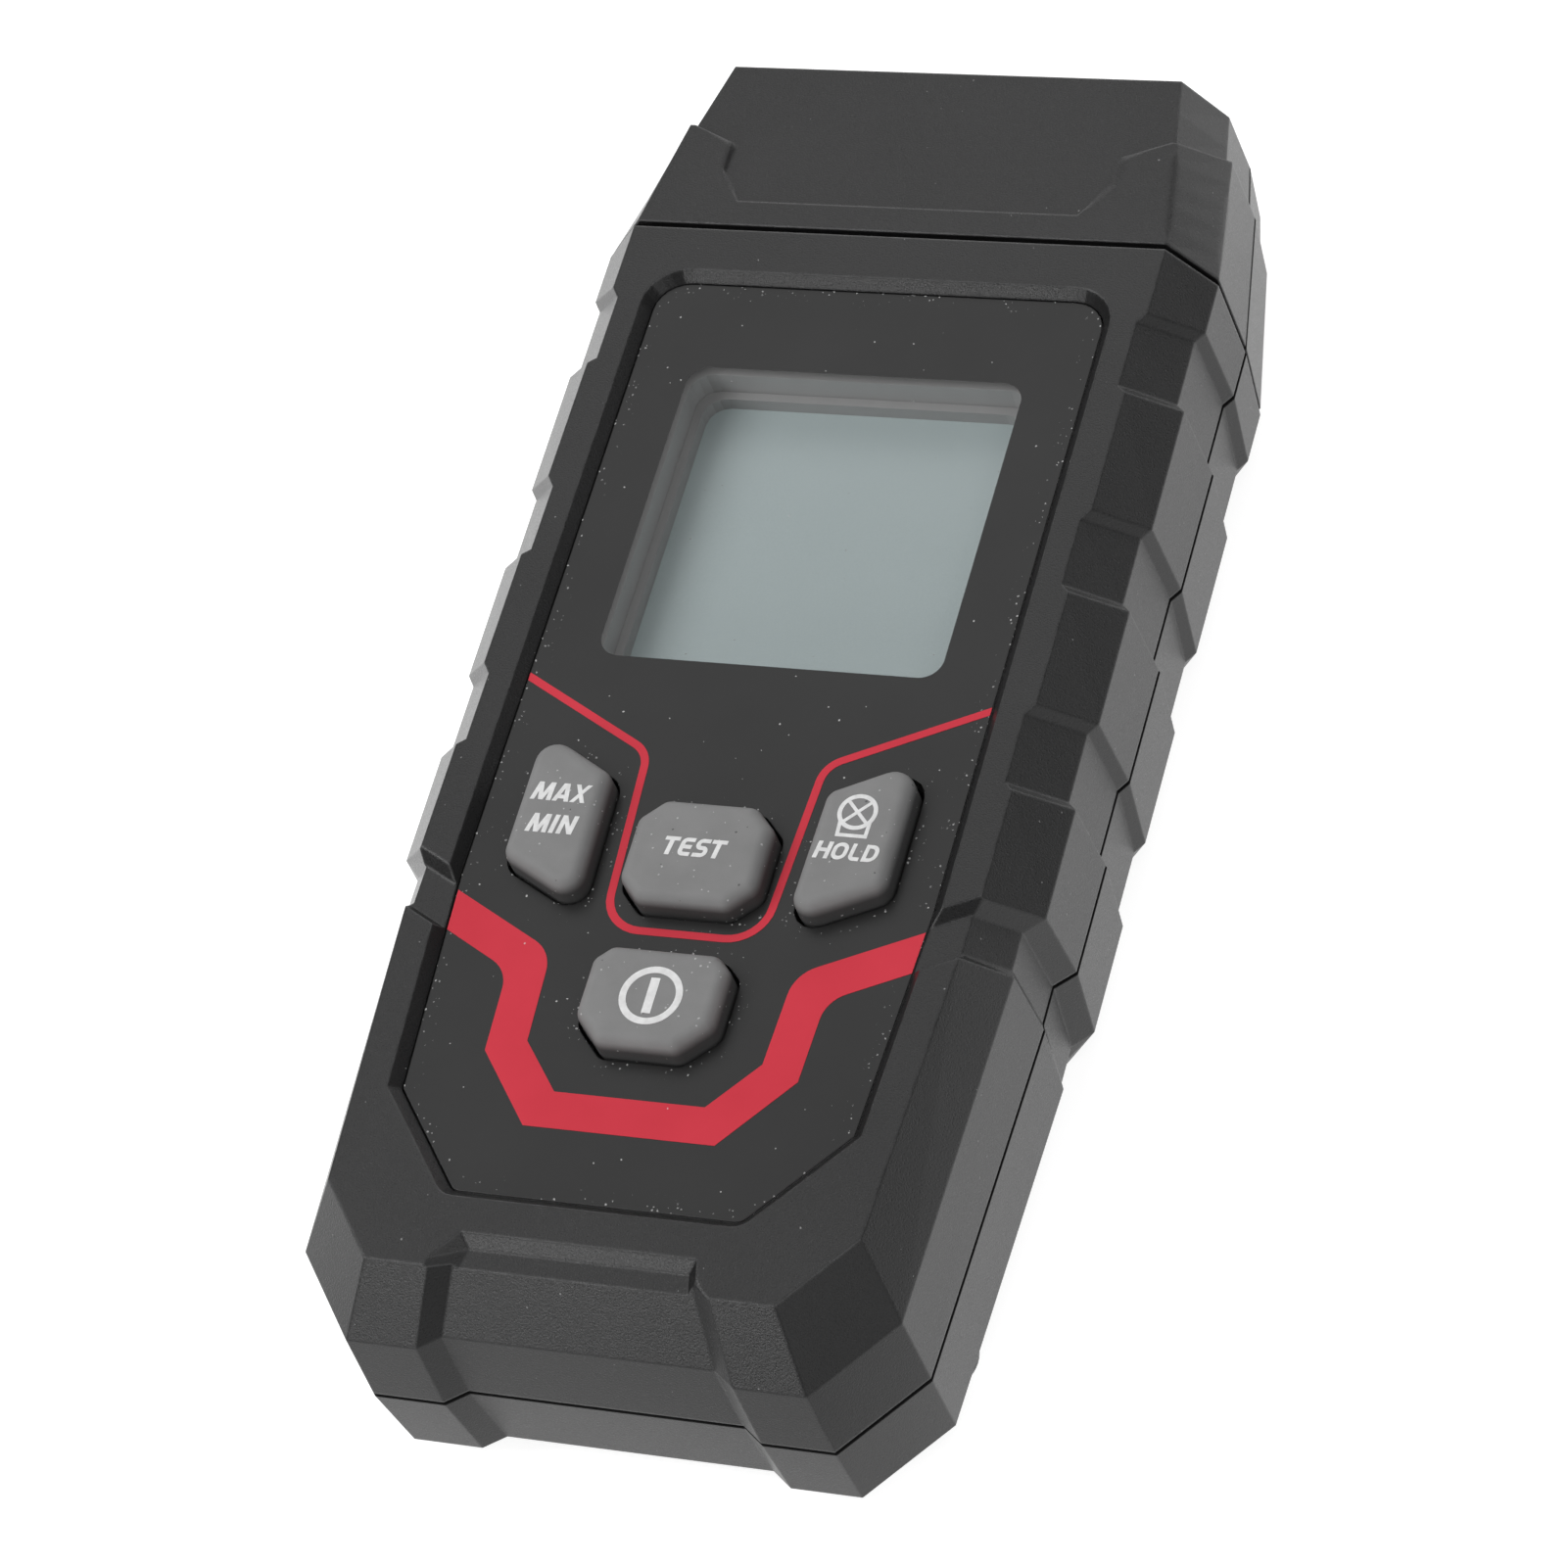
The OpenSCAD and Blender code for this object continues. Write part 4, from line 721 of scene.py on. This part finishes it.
def printed_word(name, letters, low, high, body):
    """Leaning letters on a key's top: x = left + size * (u + SLANT * v), y = low + size * v.

    Each letter stands at its own left edge. Each stroke is a hair lower than the one before it.
    """
    size = high - low
    parts = []
    for left, sign in letters:
        for rings, loop in letter(sign):
            u, v, level = np.moveaxis(rings, 2, 0)
            x, y = left + size * (u + SLANT * v), low + size * v
            z = KEY_TOP - INK + level * (2 * INK - WORD_HAIR * len(parts))
            parts.append((np.stack((x, y, z), axis=2), loop))
    finish_piece(skin(name, *parts), body, ink)


def printed_sign(name, body, *bands):
    """Bands of ink along paths on a key's top: (path, width, closed). Each is a hair lower than the last."""
    parts = []
    for path, width, closed in bands:
        high = KEY_TOP + INK - SIGN_HAIR * len(parts)
        parts.append((ribbon(path, width, KEY_TOP - INK, high, closed), closed))
    finish_piece(skin(name, *parts), body, ink)


def circle(centre, radius, steps=48):
    """Points round a circle, counter-clockwise."""
    angle = np.arange(steps) * 2 * np.pi / steps
    return centre + radius * np.stack((np.cos(angle), np.sin(angle)), axis=1)


for name, letters, low, high, body in (
    ("max_word", [(-15.9, "M"), (-13.91, "A"), (-12.32, "X")], -16.98, -15.22, "max_min_button"),
    ("min_word", [(-15.44, "M"), (-13.32, "I"), (-12.63, "N")], -20.13, -18.31, "max_min_button"),
    ("test_word", [(-3.02, "T"), (-1.52, "E"), (-0.16, "S"), (1.15, "T")], -21.19, -19.43, "test_button"),
    ("hold_word", [(10.23, "H"), (11.71, "O"), (13.25, "L"), (14.44, "D")], -20.26, -18.63, "hold_button"),
):
    printed_word(name, letters, low, high, body)

LAMP = np.array((13.02, -15.61))
LAMP_RADIUS = 1.54
RING_WIDTH, CROSS_WIDTH, SOCKET_WIDTH = 0.38, 0.3, 0.33
cross = LAMP_RADIUS * np.sqrt(0.5) * np.array(((-1, -1), (1, 1)))
socket_path = [(11.75, -16.55), (11.82, -17.9), (14.27, -17.9), (14.32, -16.55)]
printed_sign("lamp_sign", "hold_button", (circle(LAMP, LAMP_RADIUS), RING_WIDTH, True),
             (LAMP + cross, CROSS_WIDTH, False), (LAMP + cross * (1, -1), CROSS_WIDTH, False),
             (socket_path, SOCKET_WIDTH, False))

POWER = np.array((0.19, -34.53))
POWER_RADIUS, POWER_RING_WIDTH, POWER_BAR_WIDTH = 2.42, 0.6, 0.79
POWER_BAR = np.array(((0, -1.66), (0, 1.66)))
printed_sign("power_sign", "power_button", (circle(POWER, POWER_RADIUS), POWER_RING_WIDTH, True),
             (POWER + POWER_BAR, POWER_BAR_WIDTH, False))

# %% [markdown]
# Inside the case, and behind the battery door, everything has its own finish too. The circuit boards
# are green solder mask over copper: a brick pattern stands for the traces under it.

# %% Boards
TRACE_SCALE, TRACE_GAP = 240.0, 0.12

mask_green, tree, shader = new_material("solder_mask_green", Specular_IOR_Level=0.45)
place = add(tree, "TexCoord").outputs["Object"]
bricks = add(tree, "TexBrick", {"Vector": place, "Scale": TRACE_SCALE, "Mortar Size": TRACE_GAP})
traces = bricks.outputs["Fac"]
grain = use_group(tree, grain_group, Size=0.0003)
tone = mix_colour(tree, traces, (0.012, 0.11, 0.04, 1.0), (0.03, 0.2, 0.07, 1.0))
fill(tree, shader["Base Color"], mix_colour(tree, grain["Cloud"], tone, (0.02, 0.14, 0.05, 1.0)))
roughen(tree, shader, grain["Height"], 0.3, 0.42)
fill(tree, shader["Normal"], bump(tree, traces, 0.3, 0.00004))
dress(mask_green, "main_board", "sensor_board")

# %% [markdown]
# Plain black housings share one recipe: a dark tone, a fine grain and soft edges. The switch plungers
# and the light guide are pale versions of it, and the contact strip is rubber in thin layers.

# %% Small mouldings
ROUGH_REACH = 0.06
LAYER_SCALE = 800.0


def moulding(name, first, second, roughness, level=0.3, radius=0.0001):
    """A moulded finish between two tones, with a fine grain, soft edges and that middle roughness."""
    made, tree, shader = new_material(name, Specular_IOR_Level=level)
    grain = use_group(tree, grain_group, Size=0.00015, Cloud_Size=0.002)
    edges = use_group(tree, edge_group, Radius=radius)
    tone = mix_colour(tree, grain["Cloud"], first, second)
    tone = speckle(tree, tone, edges["Edge Mask"], 0.3, grey(0.4))
    fill(tree, shader["Base Color"], tone)
    roughen(tree, shader, grain["Height"], roughness - ROUGH_REACH, roughness + ROUGH_REACH)
    fill(tree, shader["Normal"], bump(tree, grain["Height"], 0.15, 0.00002, edges["Normal"]))
    return made


black_housing = moulding("black_housing", grey(0.018), grey(0.024), 0.45)
dress(black_housing, "controller_chip", "buzzer", "switch_bodies", "optics_holder", "photodiode")
pale_plunger = moulding("pale_plunger", grey(0.62, 0.94), grey(0.68, 0.94), 0.4)
dress(pale_plunger, *[name + "_plunger" for name in key_outlines])
frosted_guide = moulding("frosted_guide", (0.74, 0.8, 0.76, 1.0), (0.8, 0.84, 0.8, 1.0), 0.35)
dress(frosted_guide, "backlight_panel")

zebra, tree, shader = new_material("layered_strip_rubber", Specular_IOR_Level=0.25)
place = add(tree, "TexCoord").outputs["Object"]
layers = add(tree, "TexWave", {"Vector": place, "Scale": LAYER_SCALE, "Distortion": 0.2}).outputs["Fac"]
tone = mix_colour(tree, span(tree, layers, 0.4, 0.6), (0.6, 0.28, 0.34, 1.0), grey(0.04))
fill(tree, shader["Base Color"], tone)
fill(tree, shader["Roughness"], span(tree, layers, 0.0, 1.0, 0.55, 0.7))
dress(zebra, "contact_strip")

# %% [markdown]
# Metal pieces: the turned brass barrel and the header's pins, and plated steel for screws, springs,
# contact plates and the laser's can. Both use the group of streaks, and differ in colour.

# %% Metals
STREAK_ROUGH = 0.15


def metal(name, dark, light, roughness):
    """A worked metal between two shades, with streaks in its roughness and relief."""
    made, tree, shader = new_material(name, Metallic=1.0)
    worked = use_group(tree, metal_group)
    fill(tree, shader["Base Color"], mix_colour(tree, worked["Shade"], dark, light))
    roughen(tree, shader, worked["Height"], roughness, roughness + STREAK_ROUGH)
    fill(tree, shader["Normal"], bump(tree, worked["Height"], 0.15, 0.00001))
    return made


brass = metal("turned_brass", (0.62, 0.42, 0.14, 1.0), (0.76, 0.56, 0.24, 1.0), 0.25)
dress(brass, "laser_barrel", "sensor_header")
plated = metal("plated_steel", grey(0.5), grey(0.62), 0.22)
dress(plated, "laser_diode", "contact_springs", "contact_plates", "case_screws", "board_screws",
      "optics_screws")

# %% [markdown]
# Two lenses sit in the nose. Clear glass keeps one tint, transmission and index on the shader itself.
# Only a trace of haze, in the roughness, varies over it.

# %% Lenses
LENS_TINT = (0.9, 0.95, 1.0, 1.0)
lens_glass, tree, shader = new_material("lens_glass", Transmission_Weight=1.0, IOR=1.5, Base_Color=LENS_TINT)
grain = use_group(tree, grain_group, Size=0.0004, Cloud_Size=0.002)
fill(tree, shader["Roughness"], span(tree, grain["Cloud"], 0.0, 1.0, 0.01, 0.05))
dress(lens_glass, "laser_lens", "receiver_lens")

# %% [markdown]
# The three cells lie side by side along the case. A printed sleeve covers the can, and bare metal shows
# at both ends, so the mask is how far a point lies from the cell's middle, along its length.

# %% Cells
cell_low, cell_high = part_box("cell_middle")
CELL_MIDDLE = (cell_low.y + cell_high.y) / 2
BARE_END, BAND_WIDTH = 1.6 * MM, 8 * MM
SLEEVE_HALF = (cell_high.y - cell_low.y) / 2 - BARE_END
BAND_AT = SLEEVE_HALF - BAND_WIDTH

sleeve, tree, shader = new_material("cell_sleeve", Specular_IOR_Level=0.5)
place = add(tree, "TexCoord").outputs["Object"]
centred = add(tree, "Mapping", {"Vector": place, "Location": (0.0, -CELL_MIDDLE, 0.0)}).outputs[0]
far = maths(tree, "ABSOLUTE", add(tree, "SeparateXYZ", {0: centred}).outputs["Y"])
bare = maths(tree, "GREATER_THAN", far, SLEEVE_HALF)
band = maths(tree, "GREATER_THAN", far, BAND_AT)
grain = use_group(tree, grain_group, Size=0.0004, Cloud_Size=0.004)
worked = use_group(tree, metal_group)
tone = mix_colour(tree, grain["Cloud"], grey(0.03, 1.3), grey(0.045, 1.3))
tone = mix_colour(tree, band, tone, (0.5, 0.3, 0.08, 1.0))
tone = mix_colour(tree, bare, tone, grey(0.55))
fill(tree, shader["Base Color"], tone)
fill(tree, shader["Metallic"], bare)
roughen(tree, shader, worked["Height"], 0.25, 0.38)
fill(tree, shader["Normal"], bump(tree, worked["Height"], 0.08, 0.00002))
dress(sleeve, "cell_left", "cell_middle", "cell_right")

# %% [markdown]
# The studio is a white table under soft light. The table is white paint that the lamps light, plus a
# glow that only the camera, mirrors and glass see, so the picture's ground is white while the contact
# shadow stays. The glow that mirrors and glass see is dimmer just past the foot and beside the right
# side: a painted shadow of the object. From below the table is clear, so that the battery door can be
# looked at. The world is white to the camera. To the object it is a ceiling that brightens toward the
# head, over a pale horizon.
# Four soft lamps do the rest: one above, one at the right, and two low ones for the foot and its corner.

# %% Studio
def glow(tree, seen, reflected):
    """The strength seen for the camera's rays, reflected for those of gloss and glass, and 0 for the rest."""
    rays = add(tree, "LightPath").outputs
    gloss = maths(tree, "MAXIMUM", rays["Is Glossy Ray"], rays["Is Transmission Ray"])
    straight = maths(tree, "MULTIPLY", rays["Is Camera Ray"], seen)
    return maths(tree, "MULTIPLY_ADD", gloss, reflected, straight)


TABLE_HALF = 4.0
TABLE_AT = -0.0001
SEEN_GLOW = 0.85
FOOT_EDGE, FOOT_SHADOW_GLOW = (-0.075, -0.055), 0.25
SIDE_EDGE, SIDE_SHADOW_GLOW = (0.0, 0.03), 0.82
TABLE_FADE = (0.08, 0.2)
table_mesh = bpy.data.meshes.new("table")
corners = np.array(((-1, -1), (1, -1), (1, 1), (-1, 1))) * TABLE_HALF
table_mesh.from_pydata(np.c_[corners, np.full(4, TABLE_AT)].tolist(), [], [(0, 1, 2, 3)])
table = bpy.data.objects.new("table", table_mesh)
bpy.context.scene.collection.objects.link(table)

paint, tree, shader = new_material("table_white", Specular_IOR_Level=0.0, Roughness=1.0)
place = add(tree, "TexCoord").outputs["Object"]
cloud = add(tree, "TexNoise", {"Vector": place, "Scale": 3.0}).outputs["Fac"]
fill(tree, shader["Base Color"], mix_colour(tree, cloud, grey(0.5), grey(0.54)))
shader["Emission Color"].default_value = grey(1.0)
spot = add(tree, "SeparateXYZ", {0: place}).outputs
# Painted shadow: the glow in mirrors and glass is dimmer just past the foot and beside the right side.
near = span(tree, spot["Y"], *FOOT_EDGE, FOOT_SHADOW_GLOW, 1.0)
beside = span(tree, spot["X"], *SIDE_EDGE, 1.0, SIDE_SHADOW_GLOW)
beside = maths(tree, "MULTIPLY", beside, span(tree, spot["X"], *TABLE_FADE, 1.0, 0.0))
reflected = maths(tree, "MULTIPLY", near, beside)
fill(tree, shader["Emission Strength"], glow(tree, SEEN_GLOW, reflected))
under = add(tree, "NewGeometry").outputs["Backfacing"]
fill(tree, shader["Alpha"], maths(tree, "SUBTRACT", 1.0, under))
table_mesh.materials.append(paint)

CEILING_EDGE, CEILING_LEAST = (0.45, 0.65), 0.03
CEILING_TO_HEAD, CEILING_GLOW = (0.2, 0.7), (0.15, 1.8)
CEILING_TO_RIGHT = (0.1, 0.5)
HORIZON_TOP = 0.32
HORIZON_TO_HEAD, HEAD_GLOW = (0.3, 1.0), 3.0
HORIZON_TO_RIGHT, RIGHT_GLOW = (0.3, 0.8), 0.3

world = bpy.data.worlds.new("studio")
bpy.context.scene.world = world
world.use_nodes = True
tree = world.node_tree
place = add(tree, "TexCoord").outputs["Generated"]
way = add(tree, "SeparateXYZ", {0: place}).outputs
to_head = span(tree, way["Y"], *CEILING_TO_HEAD, *CEILING_GLOW)
overhead = span(tree, way["X"], *CEILING_TO_RIGHT, to_head, 0.0)
ceiling = span(tree, way["Z"], *CEILING_EDGE, CEILING_LEAST, overhead)
low = span(tree, way["Z"], 0.0, HORIZON_TOP, 1.0, 0.0)
head_side = span(tree, way["Y"], *HORIZON_TO_HEAD, 0.0, HEAD_GLOW)
right_side = span(tree, way["X"], *HORIZON_TO_RIGHT, 0.0, RIGHT_GLOW)
sides = maths(tree, "MAXIMUM", head_side, right_side)
sweep = maths(tree, "MULTIPLY_ADD", low, sides, ceiling)
rays = add(tree, "LightPath").outputs
level = maths(tree, "MAXIMUM", sweep, rays["Is Camera Ray"])
fill(tree, tree.nodes["Background"].inputs["Strength"], level)
tree.nodes["Background"].inputs["Color"].default_value = grey(1.0)


def soft_lamp(name, direction, distance, size, power):
    """A square lamp in that direction from the object, facing it: a lamp shines along its own -Z."""
    lamp = bpy.data.lights.new(name, "AREA")
    lamp.size = size
    lamp.energy = power
    holder = bpy.data.objects.new(name, lamp)
    holder.location = Vector(direction).normalized() * distance
    holder.rotation_euler = Vector(direction).to_track_quat("Z", "Y").to_euler()
    bpy.context.scene.collection.objects.link(holder)


soft_lamp("top_lamp", (-0.6, -0.15, 0.79), 1.0, 0.6, 5.0)
soft_lamp("right_lamp", (0.5, -0.2, 0.84), 1.0, 0.6, 2.1)
soft_lamp("foot_lamp", (-0.36, -0.84, 0.36), 0.9, 0.32, 1.65)
soft_lamp("corner_lamp", (0.79, -0.48, 0.34), 0.9, 0.5, 0.65)
print("studio: table, world and four lamps")
